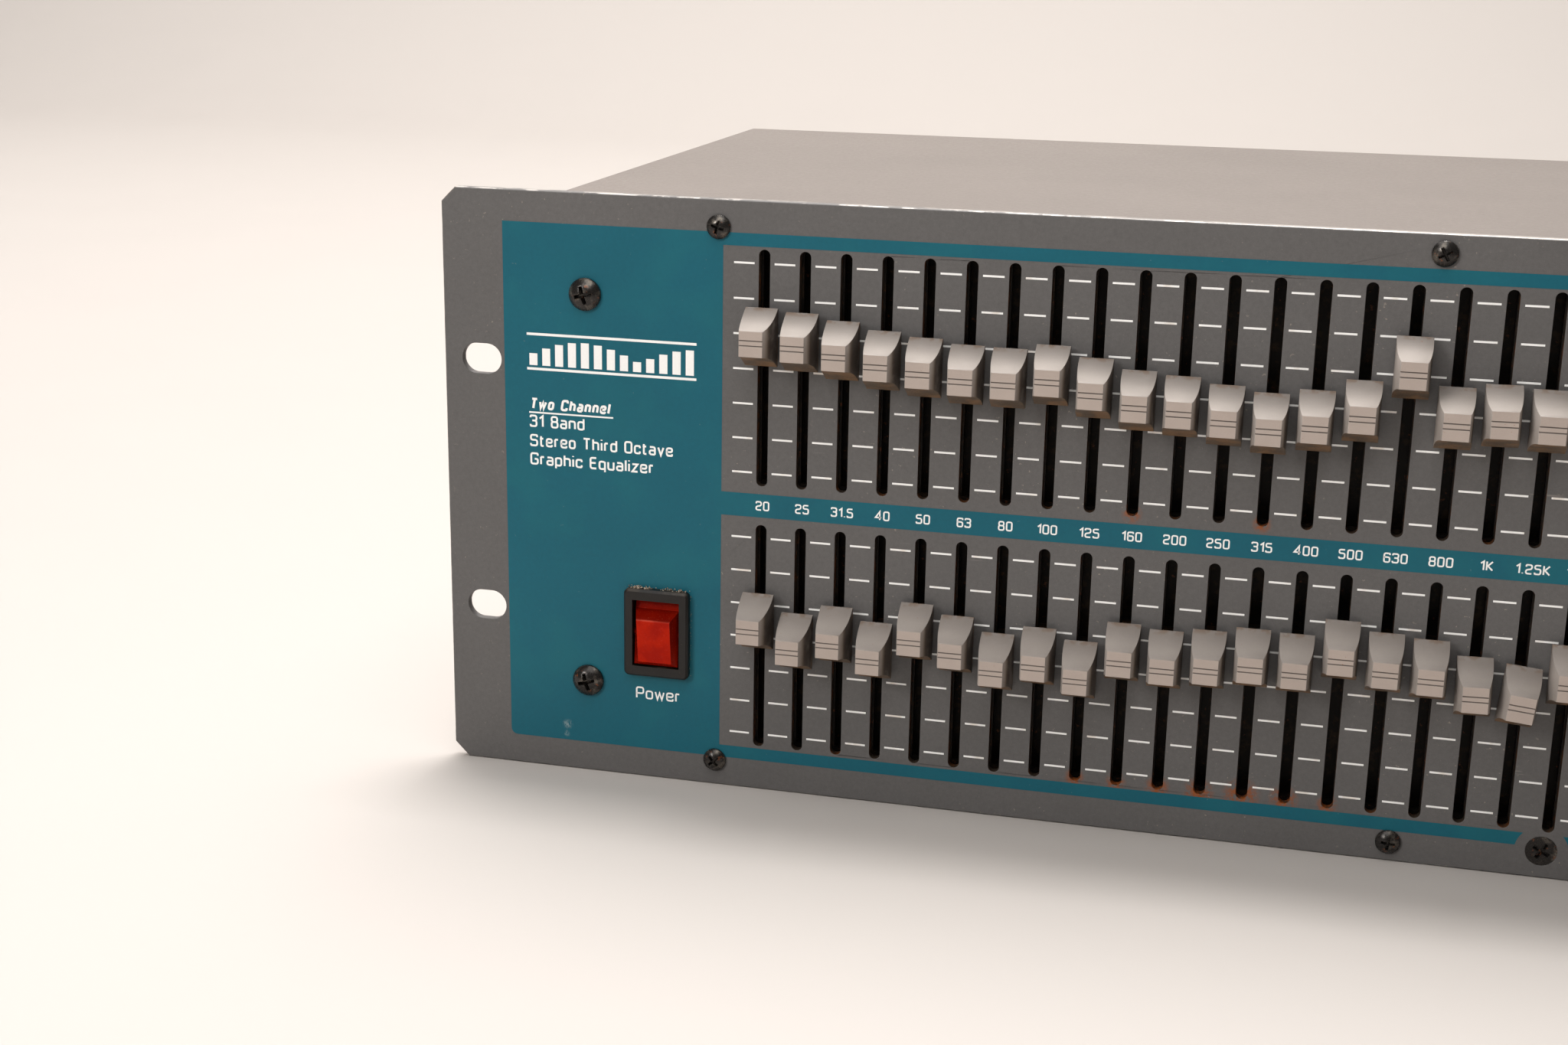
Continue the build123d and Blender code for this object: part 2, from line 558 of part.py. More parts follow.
# ================================================================ right-hand controls
with BuildPart() as control_board:
    with BuildSketch(facing_front(157.0, BOARD_FRONT, 0)):
        Rectangle(86.0, 112.0)
    extrude(amount=-1.6)
    with BuildSketch(facing_front(0, BOARD_FRONT, 0)):
        with Locations(CONTROL_SPACERS_X_Z):
            Circle(2.2)
    extrude(amount=BOARD_FRONT)
    for row in ROW_Z.values():
        # The potentiometer behind each level knob, open along the shaft.
        with BuildSketch(facing_front(CONTROL_KNOB_X, BOARD_FRONT, row)):
            Rectangle(16.0, 17.0)
            Circle(CONTROL_SHAFT + 0.05, mode=Mode.SUBTRACT)
        extrude(amount=BOARD_FRONT - 1.0)
        # The push switch behind each button, open along the plunger.
        with BuildSketch(facing_front(EQ_BUTTON_X, BOARD_FRONT, row)):
            Rectangle(10.0, 10.0)
            Circle(1.9, mode=Mode.SUBTRACT)
        extrude(amount=BOARD_FRONT - 3.0)
control_board.part.label = "control_board"
export_step(control_board.part, "parts/control_board.step")

for channel, row in ROW_Z.items():
    with BuildPart() as level_knob:
        knob_back = FRONT_Y - 0.6
        with BuildSketch(Plane.XY.offset(row)):
            with BuildLine():
                Polyline((CONTROL_KNOB_X, knob_back), (CONTROL_KNOB_X, knob_back - 11.4),
                         (CONTROL_KNOB_X + 5.9, knob_back - 11.4),
                         (CONTROL_KNOB_X + 6.5, knob_back - 10.8),
                         (CONTROL_KNOB_X + 6.9, knob_back - 2.6),
                         (CONTROL_KNOB_X + CONTROL_KNOB_RADIUS, knob_back - 1.8),
                         (CONTROL_KNOB_X + CONTROL_KNOB_RADIUS, knob_back),
                         (CONTROL_KNOB_X, knob_back))
            make_face()
        revolve(axis=Axis(origin=(CONTROL_KNOB_X, 0, row), direction=(0, 1, 0)))
        # Finger flutes round the cap, and the pointer line.
        with BuildSketch(facing_front(CONTROL_KNOB_X, knob_back - 2.4, row)):
            with PolarLocations(CONTROL_KNOB_RADIUS - 1.4, 12, start_angle=15):
                Circle(0.8)
        extrude(amount=9.5, mode=Mode.SUBTRACT)
        with BuildSketch(facing_front(CONTROL_KNOB_X, knob_back - 11.4, row)):
            with Locations((0, 3.6)):
                Rectangle(0.8, 4.4)
        extrude(amount=-0.35, mode=Mode.SUBTRACT)
        with BuildSketch(facing_front(CONTROL_KNOB_X, knob_back, row)):
            Circle(CONTROL_SHAFT)
        extrude(amount=knob_back - BOARD_FRONT + 0.4)
    level_knob.part.label = f"level_knob_ch{channel}"
    export_step(level_knob.part, f"parts/{level_knob.part.label}.step")

    with BuildPart() as eq_button:
        with BuildSketch(facing_front(EQ_BUTTON_X, -0.4, row)):
            Circle(EQ_BUTTON_RADIUS)
        extrude(amount=5.6)
        fillet(eq_button.faces().sort_by(Axis.Y)[0].edges(), 0.6)
        with BuildSketch(facing_front(EQ_BUTTON_X, -0.4, row)):
            Circle(1.8)
        extrude(amount=-(BOARD_FRONT - EQ_BUTTON_TRAVEL - 0.1))
    eq_button.part.label = f"eq_in_button_ch{channel}"
    export_step(eq_button.part, f"parts/{eq_button.part.label}.step")

with BuildPart() as status_leds:
    led_places = [(x, row + LED_RISE) for row in ROW_Z.values() for x in LED_X]
    for x, z in led_places:
        with BuildSketch(Plane.YZ.offset(x)):
            with BuildLine():
                Polyline((-2.4, z + LED_RADIUS), (0.2, z + LED_RADIUS), (0.2, z + 1.9),
                         (1.2, z + 1.9), (1.2, z), (-3.9, z))
                ThreePointArc((-3.9, z), (-2.4 - LED_RADIUS * 0.7071, z + LED_RADIUS * 0.7071),
                              (-2.4, z + LED_RADIUS))
            make_face()
        revolve(axis=Axis(origin=(x, 0, z), direction=(0, 1, 0)))
    with BuildSketch(facing_front(0, 1.2, 0)):
        with Locations([(x + dx, z) for x, z in led_places for dx in (-0.9, 0.9)]):
            Rectangle(0.5, 0.5)
    extrude(amount=1.2 - BOARD_FRONT)
status_leds.part.label = "status_leds"
export_step(status_leds.part, "parts/status_leds.step")

# ================================================================ inside the case
with BuildPart() as main_board:
    board_z = FLOOR_Z + SHEET + 8.0
    # Standoffs that hold the board off the floor.
    with BuildSketch(Plane.XY.offset(FLOOR_Z + SHEET)):
        with Locations((55, 85)):
            with GridLocations(125, 90, 3, 2):
                Circle(2.8)
    extrude(amount=8.0)
    with BuildSketch(Plane.XY.offset(board_z)):
        with Locations((55, 83)):
            Rectangle(276, 110)
    extrude(amount=1.6)
    # Signal amplifiers in rows, then the reservoir capacitors and the two regulators.
    with BuildSketch(Plane.XY.offset(board_z + 1.6)):
        with Locations((90, 70)):
            with GridLocations(26, 24, 7, 3):
                Rectangle(9.6, 6.4)
    extrude(amount=3.4)
    with BuildSketch(Plane.XY.offset(board_z + 1.6)):
        with Locations((-55, 52), (-55, 76)):
            Circle(9.0)
    extrude(amount=32.0)
    with BuildSketch(Plane.XY.offset(board_z + 1.6)):
        with Locations((-55, 104), (-55, 124)):
            Rectangle(25.0, 10.0)
    extrude(amount=18.0)
main_board.part.label = "main_board"
export_step(main_board.part, "parts/main_board.step")

with BuildPart() as power_transformer:
    with BuildSketch(Plane.XY.offset(FLOOR_Z + SHEET)):
        with Locations((-150, 80)):
            Rectangle(86, 34)
            with GridLocations(76, 1, 2, 1):
                Circle(2.2, mode=Mode.SUBTRACT)
    extrude(amount=1.5)
    with BuildSketch(Plane.XY.offset(FLOOR_Z + SHEET + 1.5)):
        with Locations((-150, 80)):
            Rectangle(66, 28)
    extrude(amount=55)
    with BuildSketch(Plane.XY.offset(FLOOR_Z + SHEET + 10)):
        with Locations((-150, 80)):
            RectangleRounded(44, 52, 4)
    extrude(amount=37)
power_transformer.part.label = "power_transformer"
export_step(power_transformer.part, "parts/power_transformer.step")

# ================================================================ rear connectors
with BuildPart() as mains_inlet:
    with BuildSketch(facing_back(INLET_X, REAR_Y, INLET_Z)):
        RectangleRounded(*INLET_FLANGE, 3.0)
        with Locations((-INLET_SCREW_X, 0), (INLET_SCREW_X, 0)):
            Circle(M3_CLEAR, mode=Mode.SUBTRACT)
    extrude(amount=XLR_FLANGE_DEPTH)
    with BuildSketch(facing_back(INLET_X, REAR_Y, INLET_Z)):
        Rectangle(28.0, 20.2)
    extrude(amount=-16.0)
    # The socket's well has two bevelled upper corners and keeps its three blades.
    with BuildSketch(facing_back(INLET_X, REAR_Y + XLR_FLANGE_DEPTH, INLET_Z)) as well:
        Rectangle(24.4, 16.6)
        chamfer(well.vertices().group_by(Axis.Z)[-1], 4.4)
        with Locations((-7.0, -1.6), (7.0, -1.6), (0, 2.4)):
            Rectangle(2.0, 4.0, mode=Mode.SUBTRACT)
    extrude(amount=-16.0, mode=Mode.SUBTRACT)
    with BuildSketch(facing_back(INLET_X, REAR_Y - 16.0, INLET_Z)):
        with Locations((-7.0, -1.6), (7.0, -1.6), (0, 2.4)):
            Rectangle(6.3, 0.8)
    extrude(amount=-9.0)
mains_inlet.part.label = "mains_inlet"
export_step(mains_inlet.part, "parts/mains_inlet.step")

with BuildPart() as xlr_inputs:
    for x, z in XLR_IN_X_Z:
        with BuildSketch(facing_back(x, REAR_Y, z)):
            RectangleRounded(*XLR_FLANGE, 2.5)
            with Locations((XLR_SCREW[0], XLR_SCREW[1]), (-XLR_SCREW[0], -XLR_SCREW[1])):
                Circle(M3_CLEAR, mode=Mode.SUBTRACT)
        extrude(amount=XLR_FLANGE_DEPTH)
        with BuildSketch(facing_back(x, REAR_Y, z)):
            Circle(XLR_BODY)
        extrude(amount=-20.0)
        # A ring-shaped gap takes the plug's shell, and three holes take its pins.
        with BuildSketch(facing_back(x, REAR_Y + XLR_FLANGE_DEPTH, z)):
            Circle(9.6)
            Circle(7.9, mode=Mode.SUBTRACT)
            with Locations((-3.6, 1.6), (3.6, 1.6), (0, -3.9)):
                Circle(1.35)
        extrude(amount=-15.0, mode=Mode.SUBTRACT)
        with BuildSketch(facing_back(x, REAR_Y - 20.0, z)):
            with Locations((-3.6, 1.6), (3.6, 1.6), (0, -3.9)):
                Circle(1.2)
        extrude(amount=-5.0)
xlr_inputs.part.label = "xlr_inputs"
export_step(xlr_inputs.part, "parts/xlr_inputs.step")

with BuildPart() as xlr_outputs:
    for x, z in XLR_OUT_X_Z:
        with BuildSketch(facing_back(x, REAR_Y, z)):
            RectangleRounded(*XLR_FLANGE, 2.5)
            with Locations((XLR_SCREW[0], XLR_SCREW[1]), (-XLR_SCREW[0], -XLR_SCREW[1])):
                Circle(M3_CLEAR, mode=Mode.SUBTRACT)
        extrude(amount=XLR_FLANGE_DEPTH)
        with BuildSketch(facing_back(x, REAR_Y, z)):
            Circle(XLR_BODY)
        extrude(amount=-20.0)
        # A round well with three pins standing in it.
        with BuildSketch(facing_back(x, REAR_Y + XLR_FLANGE_DEPTH, z)):
            Circle(8.1)
            with Locations((-3.6, 1.6), (3.6, 1.6), (0, -3.9)):
                Circle(1.2, mode=Mode.SUBTRACT)
        extrude(amount=-15.0, mode=Mode.SUBTRACT)
        with BuildSketch(facing_back(x, REAR_Y - 20.0, z)):
            with Locations((-3.6, 1.6), (3.6, 1.6), (0, -3.9)):
                Circle(1.2)
        extrude(amount=-5.0)
xlr_outputs.part.label = "xlr_outputs"
export_step(xlr_outputs.part, "parts/xlr_outputs.step")
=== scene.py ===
import math
import random

import bmesh
import bpy
from mathutils import Euler, Matrix, Vector


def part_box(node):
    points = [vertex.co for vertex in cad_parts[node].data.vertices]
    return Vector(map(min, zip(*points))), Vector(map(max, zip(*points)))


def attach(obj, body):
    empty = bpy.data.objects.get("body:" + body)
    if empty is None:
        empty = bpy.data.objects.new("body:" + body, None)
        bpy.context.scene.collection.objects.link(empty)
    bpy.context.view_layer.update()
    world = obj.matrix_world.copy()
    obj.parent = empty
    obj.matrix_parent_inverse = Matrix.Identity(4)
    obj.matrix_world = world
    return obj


# A two-channel third-octave graphic equaliser. Lengths are named in millimetres and
# turned into Blender's metres by MM. +X right, +Y back, +Z up, as in the CAD.

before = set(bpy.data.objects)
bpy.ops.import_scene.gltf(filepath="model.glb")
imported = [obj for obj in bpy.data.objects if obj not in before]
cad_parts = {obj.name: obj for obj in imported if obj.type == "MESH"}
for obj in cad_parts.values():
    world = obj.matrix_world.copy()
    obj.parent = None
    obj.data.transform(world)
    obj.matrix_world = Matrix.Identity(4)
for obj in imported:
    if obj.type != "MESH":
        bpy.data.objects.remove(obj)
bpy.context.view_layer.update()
MM = 0.001

# ---------------------------------------------------------------- the panel's layout
PANEL_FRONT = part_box("front_panel")[0].y / MM
FLOOR_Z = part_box("chassis_tray")[0].z / MM
COLUMN_PITCH = 8.89
FIRST_COLUMN_X = -168.1
ROWS = {1: 30.2, 2: -30.2}
BAND_LABELS = (
    "20 25 31.5 40 50 63 80 100 125 160 200 250 315 400 500 630 800 1K 1.25K 1.6K 2K "
    "2.5K 3.15K 4K 5K 6.3K 8K 10K 12.5K 16K 20K"
).split()
COLUMNS = [FIRST_COLUMN_X + COLUMN_PITCH * i for i in range(len(BAND_LABELS))]
SCALE_STEP = 7.62
TICK_LENGTH = 4.5
TICK_WIDTH = 0.42

TEAL_LEFT = -227.2
TEAL_RIGHT = 227.2
TEAL_TOP = 59.35
TEAL_BOTTOM = -59.45
TEAL_CORNER = 1.5
WINDOW_LEFT = -177.2
WINDOW_RIGHT = 107.7
WINDOW_TOP = 56.6
WINDOW_BOTTOM = -56.6
BAND_TOP = 2.6
BAND_BOTTOM = -2.65
CSK_CLEAR = 5.4
CSK_Z = 60.3

SWITCH_X = -191.7
SWITCH_Z = -31.35
BEZEL = (15.0, 20.4)
SWITCH_CUTOUT = (13.5, 19.1)
ROCKER_SIDE = 5.09
ROCKER_RIDGE_RISE = 3.8
ROCKER_RECESS_RISE = 5.5
CONTROL_KNOB_X = 139.0
KNOB_CLEAR = 3.6
EQ_BUTTON_X = 176.0
BUTTON_CLEAR = 4.35
LED_X = [170.0, 176.0, 182.0]
LED_RISE = 15.0
LED_CLEAR = 1.6

# Where the panel's flat front turns into its edges, and the far side of its cut corners.
EDGE_X = (241.0, 241.18)
EDGE_Z = (66.0, 66.18)
CUT_CORNER = (304.0, 304.3)

INK = 0.03


# ---------------------------------------------------------------- material helpers
def srgb(r, g, b):
    """A colour given in 0 to 255 as Blender's linear RGBA."""
    def linear(v):
        v /= 255
        return v / 12.92 if v <= 0.04045 else ((v + 0.055) / 1.055) ** 2.4
    return (linear(r), linear(g), linear(b), 1.0)


class Shader:
    """A material's node tree, with short ways to add nodes and to join them."""

    def __init__(self, name):
        self.material = bpy.data.materials.new(name)
        self.material.use_nodes = True
        self.tree = self.material.node_tree
        self.tree.nodes.clear()
        output = self.node("ShaderNodeOutputMaterial")
        self.bsdf = self.node("ShaderNodeBsdfPrincipled")
        self.join(self.bsdf.outputs["BSDF"], output.inputs["Surface"])
        coordinates = self.node("ShaderNodeTexCoord")
        self.point = coordinates.outputs["Object"]
        self.x, self.y, self.z = self.split(self.point)
        self.nx, self.ny, self.nz = self.split(coordinates.outputs["Normal"])

    def node(self, kind, **settings):
        made = self.tree.nodes.new(kind)
        for name, value in settings.items():
            setattr(made, name, value)
        return made

    def join(self, source, target):
        """Links an output to an input, or sets the input where the source is a value."""
        if isinstance(source, bpy.types.NodeSocket):
            self.tree.links.new(source, target)
        else:
            target.default_value = source

    def set(self, name, value):
        self.join(value, self.bsdf.inputs[name])

    def split(self, vector):
        parts = self.node("ShaderNodeSeparateXYZ")
        self.join(vector, parts.inputs[0])
        return parts.outputs[0], parts.outputs[1], parts.outputs[2]

    def math(self, operation, a, b=0.0, c=0.0):
        made = self.node("ShaderNodeMath", operation=operation)
        for value, socket in zip((a, b, c), made.inputs):
            self.join(value, socket)
        return made.outputs[0]

    def times(self, *values):
        result = values[0]
        for value in values[1:]:
            result = self.math("MULTIPLY", result, value)
        return result

    def most(self, *values):
        result = values[0]
        for value in values[1:]:
            result = self.math("MAXIMUM", result, value)
        return result

    def rise(self, value, low, high, to_low=0.0, to_high=1.0):
        """A smooth step of a value from low to high."""
        made = self.node("ShaderNodeMapRange", interpolation_type="SMOOTHSTEP")
        for part, socket in zip((value, low, high, to_low, to_high), made.inputs):
            self.join(part, socket)
        return made.outputs[0]

    def deep(self, low, high, to_low=0.0, to_high=1.0):
        """A smooth step of the depth y, from one place in millimetres to another."""
        return self.rise(self.y, low * MM, high * MM, to_low, to_high)

    def apart(self, value, place):
        """How far a coordinate is from a place given in millimetres."""
        return self.math("ABSOLUTE", self.math("SUBTRACT", value, place * MM))

    def line(self, value, low, high, to_low, to_high):
        """A straight map of a value from one range to another."""
        made = self.node("ShaderNodeMapRange")
        for part, socket in zip((value, low, high, to_low, to_high), made.inputs):
            self.join(part, socket)
        return made.outputs[0]

    def stretched(self, factors, shift=(0.0, 0.0, 0.0)):
        made = self.node("ShaderNodeMapping")
        self.join(self.point, made.inputs["Vector"])
        made.inputs["Scale"].default_value = factors
        made.inputs["Location"].default_value = shift
        return made.outputs[0]

    def noise(self, size, detail=3.0, roughness=0.5, factors=(1.0, 1.0, 1.0), shift=0.0):
        """Noise whose features are about `size` millimetres across."""
        made = self.node("ShaderNodeTexNoise")
        self.join(self.stretched(factors, (shift, shift * 0.7, shift * 1.3)), made.inputs["Vector"])
        made.inputs["Scale"].default_value = 1.0 / (size * MM)
        made.inputs["Detail"].default_value = detail
        made.inputs["Roughness"].default_value = roughness
        return made.outputs["Fac"]

    def mix(self, factor, a, b, blend="MIX"):
        made = self.node("ShaderNodeMix", data_type="RGBA", blend_type=blend)
        self.join(factor, made.inputs[0])
        self.join(a, made.inputs[6])
        self.join(b, made.inputs[7])
        return made.outputs[2]

    def shade(self, colour, value, low, high):
        """A colour darkened or lightened by a value that runs from 0 to 1."""
        factor = self.line(value, 0.0, 1.0, low, high)
        grey = self.node("ShaderNodeCombineColor")
        for socket in grey.inputs[:3]:
            self.join(factor, socket)
        return self.mix(1.0, colour, grey.outputs[0], "MULTIPLY")

    def near(self, places):
        """One near any of the (x, z, radius) places on the panel, fading to nothing at their radius."""
        flat = self.node("ShaderNodeCombineXYZ")
        self.join(self.x, flat.inputs[0])
        self.join(self.z, flat.inputs[2])
        result = 0.0
        for x, z, radius in places:
            away = self.node("ShaderNodeVectorMath", operation="DISTANCE")
            self.join(flat.outputs[0], away.inputs[0])
            away.inputs[1].default_value = (x * MM, 0.0, z * MM)
            spot = self.rise(away.outputs["Value"], radius * MM, radius * MM * 0.2)
            result = self.most(result, spot)
        return result

    def bump(self, height, distance, strength=1.0):
        made = self.node("ShaderNodeBump")
        made.inputs["Distance"].default_value = distance * MM
        made.inputs["Strength"].default_value = strength
        self.join(height, made.inputs["Height"])
        self.join(made.outputs[0], self.bsdf.inputs["Normal"])


# ---------------------------------------------------------------- materials
# Marks on the panel: x, z and radius of each.
RUST_PLACES = [
    (-97.0, -55.2, 2.6), (-88.1, -55.2, 2.7), (-79.2, -55.4, 3.2),
    (-70.4, -55.6, 4.0), (-61.5, -55.2, 4.8), (-52.6, -55.0, 3.7),
    (-43.7, -55.2, 2.7), (-88.1, 4.9, 2.6), (-61.5, 4.9, 2.4),
]
RUBBED_CORNERS = [(-239.9, 64.8, 3.2), (239.9, 64.8, 2.4), (-239.9, -64.8, 2.6)]
SMUDGES = [(-213.4, -55.6, 1.5), (-213.6, -57.9, 1.0)]
BRONZE = srgb(96, 66, 38)
RUST = srgb(142, 76, 32)


def enamel(name, base, panel):
    """Semi-gloss grey enamel on steel. The panel's slots are dark, rust has crept from them, and its
    top edge carries a painted highlight over the wear.
    """
    s = Shader(name)
    mottle = s.noise(0.9, 5.0, 0.65)
    cloud = s.noise(38.0, 3.0, 0.5)
    grain = s.noise(0.28, 2.0, 0.6)
    colour = s.shade(base, mottle, 0.8, 1.2)
    colour = s.shade(colour, cloud, 0.9, 1.1)
    colour = s.shade(colour, grain, 0.88, 1.12)
    dust = s.times(s.rise(s.noise(0.75, 2.0, 0.5, shift=3.1), 0.70, 0.76), s.rise(cloud, 0.4, 0.6))
    colour = s.mix(s.times(dust, 0.45), colour, srgb(170, 158, 144))
    scratch = s.rise(s.noise(1.6, 2.0, 0.5, (0.05, 1.0, 1.0), 7.7), 0.735, 0.76)
    scratch = s.times(scratch, s.rise(s.noise(22.0, 2.0, shift=1.3), 0.52, 0.6), 0.35)
    colour = s.mix(scratch, colour, srgb(160, 152, 145))
    roughness = s.line(mottle, 0.3, 0.7, 0.36, 0.52)
    metal = 0.0
    if panel:
        across = s.math("ABSOLUTE", s.x)
        upright = s.math("ABSOLUTE", s.z)
        inside = s.times(s.rise(across, 230.0 * MM, 228.5 * MM), s.rise(upright, 64.0 * MM, 62.5 * MM))
        wall = s.times(s.rise(s.math("ABSOLUTE", s.ny), 0.75, 0.55), inside)
        wall_colour = s.mix(s.rise(s.noise(3.0, 4.0), 0.5, 0.64), srgb(56, 47, 39), srgb(88, 54, 30))
        colour = s.mix(wall, colour, wall_colour)
        stain = s.times(s.near(RUST_PLACES), s.rise(s.noise(1.1, 5.0, 0.7), 0.4, 0.55))
        colour = s.mix(stain, colour, RUST)
        top_edge = s.rise(s.z, EDGE_Z[0] * MM, EDGE_Z[1] * MM)
        edge = s.most(
            top_edge,
            s.times(s.rise(upright, EDGE_Z[0] * MM, EDGE_Z[1] * MM), 0.4),
            s.times(s.rise(across, EDGE_X[0] * MM, EDGE_X[1] * MM), 0.7),
            s.rise(s.math("ADD", across, upright), CUT_CORNER[0] * MM, CUT_CORNER[1] * MM),
        )
        worn = s.rise(s.noise(2.4, 5.0, 0.65, (0.35, 1.0, 0.35)), 0.44, 0.6)
        # The top edge is painted light along its length, more so to the right: a painted highlight over
        # the worn edge.
        worn = s.most(worn, s.times(top_edge, s.rise(s.x, -160.0 * MM, 0.0, 0.1, 0.8)))
        corner = s.near(RUBBED_CORNERS)
        worn = s.most(worn, s.times(corner, 0.9))
        bare_and_highlight = s.times(edge, worn)
        bare_colour = s.mix(corner, srgb(196, 190, 184), srgb(140, 108, 78))
        colour = s.mix(s.times(bare_and_highlight, 0.85), colour, bare_colour)
        metal = s.times(bare_and_highlight, 0.5)
        roughness = s.math("SUBTRACT", roughness, s.times(bare_and_highlight, 0.1))
    s.set("Base Color", colour)
    s.set("Roughness", roughness)
    s.set("Metallic", metal)
    s.bsdf.inputs["Specular IOR Level"].default_value = 0.3
    s.bump(s.math("ADD", s.times(grain, 0.5), mottle), 0.045, 0.55)
    return s.material


def teal_ink():
    """Screen-printed teal over the enamel, worn a little thin, with a pale smudge and small chips."""
    s = Shader("teal_ink")
    mottle = s.noise(1.0, 5.0, 0.7)
    cloud = s.noise(30.0, 3.0)
    colour = s.shade(srgb(18, 92, 108), mottle, 0.84, 1.16)
    colour = s.shade(colour, cloud, 0.9, 1.1)
    green = s.rise(s.noise(14.0, 3.0, shift=5.0), 0.45, 0.7)
    colour = s.mix(s.times(green, 0.35), colour, srgb(24, 104, 113))
    streaks = s.rise(s.noise(0.7, 4.0, 0.7, (2.0, 1.0, 0.6)), 0.42, 0.6)
    smudge = s.times(s.near(SMUDGES), streaks)
    chip = s.rise(s.noise(0.8, 2.0, 0.5, shift=9.0), 0.765, 0.785)
    colour = s.mix(s.times(chip, 0.5), colour, srgb(104, 122, 122))
    colour = s.mix(s.times(smudge, 0.65), colour, srgb(150, 166, 166))
    s.set("Base Color", colour)
    s.set("Roughness", s.line(mottle, 0.3, 0.7, 0.4, 0.54))
    s.bsdf.inputs["Specular IOR Level"].default_value = 0.25
    s.bump(mottle, 0.03, 0.5)
    return s.material


def white_ink():
    """White screen print, a little uneven, browned beside the fader rows."""
    s = Shader("white_ink")
    uneven = s.noise(0.5, 4.0, 0.6)
    colour = s.shade(srgb(250, 249, 246), uneven, 0.94, 1.04)
    brown = s.times(s.rise(s.noise(6.0, 3.0, shift=2.0), 0.55, 0.68), 0.35)
    beside_band = s.rise(s.math("ABSOLUTE", s.z), 4.0 * MM, 6.0 * MM)
    on_scale = s.times(s.rise(s.x, WINDOW_LEFT * MM, (WINDOW_LEFT + 0.7) * MM), beside_band)
    colour = s.mix(s.times(brown, on_scale), colour, srgb(196, 168, 138))
    s.set("Base Color", colour)
    s.set("Roughness", s.line(uneven, 0.3, 0.7, 0.42, 0.6))
    s.bump(uneven, 0.02, 0.5)
    return s.material


def knob_plastic():
    """Matte warm grey caps on dark steel levers, with brown patches near the base and rust specks.
    Painted shade darkens the right-hand side, the parts towards the panel, the grooves across the front
    and the underside; painted warm light tints the underside and the fronts.
    """
    s = Shader("knob_plastic")
    fine = s.noise(0.35, 3.0, 0.6)
    patch = s.noise(5.0, 3.0, 0.55)
    each = s.noise(12.0, 1.0, shift=4.0)
    colour = s.shade(srgb(163, 154, 147), fine, 0.92, 1.08)
    colour = s.shade(colour, patch, 0.9, 1.1)
    colour = s.shade(colour, each, 0.93, 1.07)
    # Painted shade: darker towards the panel and on the right-hand side, deepest close to the panel, in
    # uneven patches.
    depth = s.deep(-10.5, -3.6)
    below = s.rise(s.nz, -0.35, -0.75)
    shaded_flank = s.times(s.rise(s.nx, 0.6, 0.9), s.deep(-12.4, -9.5, 0.1, 1.0))
    painted_shade = s.most(s.times(depth, 0.4), s.times(shaded_flank, 0.92))
    painted_shade = s.times(painted_shade, s.rise(patch, 0.2, 0.5, 0.6, 1.0))
    colour = s.mix(painted_shade, colour, s.mix(s.deep(-11.8, -8.8), srgb(104, 84, 62), srgb(46, 36, 27)))
    # Painted shade and warm reflected light underneath: a darker orange-brown.
    under = s.mix(s.rise(patch, 0.4, 0.62), srgb(80, 64, 47), srgb(118, 87, 55))
    colour = s.mix(s.times(below, 0.88), colour, under)
    rim = s.times(s.deep(-5.2, -4.0), s.rise(s.noise(2.2, 3.0, shift=11.0), 0.45, 0.6), 0.55)
    colour = s.mix(rim, colour, srgb(112, 84, 58))
    sunk = s.times(s.deep(-12.78, -12.68), s.deep(-12.35, -12.5))
    # Painted warm reflected light on the fronts.
    face = s.rise(s.ny, -0.9, -0.97)
    colour = s.mix(s.times(face, 0.35), colour, srgb(192, 170, 156))
    # Painted shade in the grooves across the front.
    squarely = s.most(s.times(s.ny, -1.0), s.math("ABSOLUTE", s.nz))
    groove = s.times(sunk, s.rise(squarely, 0.9, 0.97))
    colour = s.mix(s.times(groove, 0.75), colour, srgb(58, 48, 40))
    speck = s.rise(s.noise(0.6, 3.0, 0.6, shift=6.0), 0.70, 0.75)
    speck = s.times(speck, s.rise(s.noise(9.0, 2.0, shift=8.0), 0.55, 0.62))
    colour = s.mix(s.times(speck, 0.8), colour, RUST)
    lever = s.deep(-3.45, -3.35)
    colour = s.mix(lever, colour, s.mix(s.rise(patch, 0.45, 0.65), srgb(40, 34, 29), BRONZE))
    s.set("Base Color", colour)
    s.set("Metallic", s.times(lever, 0.6))
    s.set("Roughness", s.line(fine, 0.3, 0.7, 0.5, 0.66))
    s.bump(fine, 0.03, 0.5)
    return s.material


def dark_plastic(name, base, dusty):
    """Moulded black plastic with a fine grain and dust on what faces up."""
    s = Shader(name)
    grain = s.noise(0.3, 3.0, 0.6)
    patch = s.noise(4.0, 4.0, 0.6)
    colour = s.shade(base, grain, 0.8, 1.2)
    colour = s.shade(colour, patch, 0.75, 1.25)
    dust = s.times(s.rise(s.nz, 0.3, 0.9), s.rise(patch, 0.42, 0.62), dusty)
    speck = s.times(s.rise(s.noise(0.45, 2.0, shift=2.0), 0.70, 0.74), dusty, 0.6)
    colour = s.mix(s.most(dust, speck), colour, srgb(160, 142, 120))
    s.set("Base Color", colour)
    s.set("Roughness", s.line(patch, 0.3, 0.7, 0.32, 0.5))
    s.bsdf.inputs["Specular IOR Level"].default_value = 0.35
    s.bump(grain, 0.03, 0.6)
    return s.material


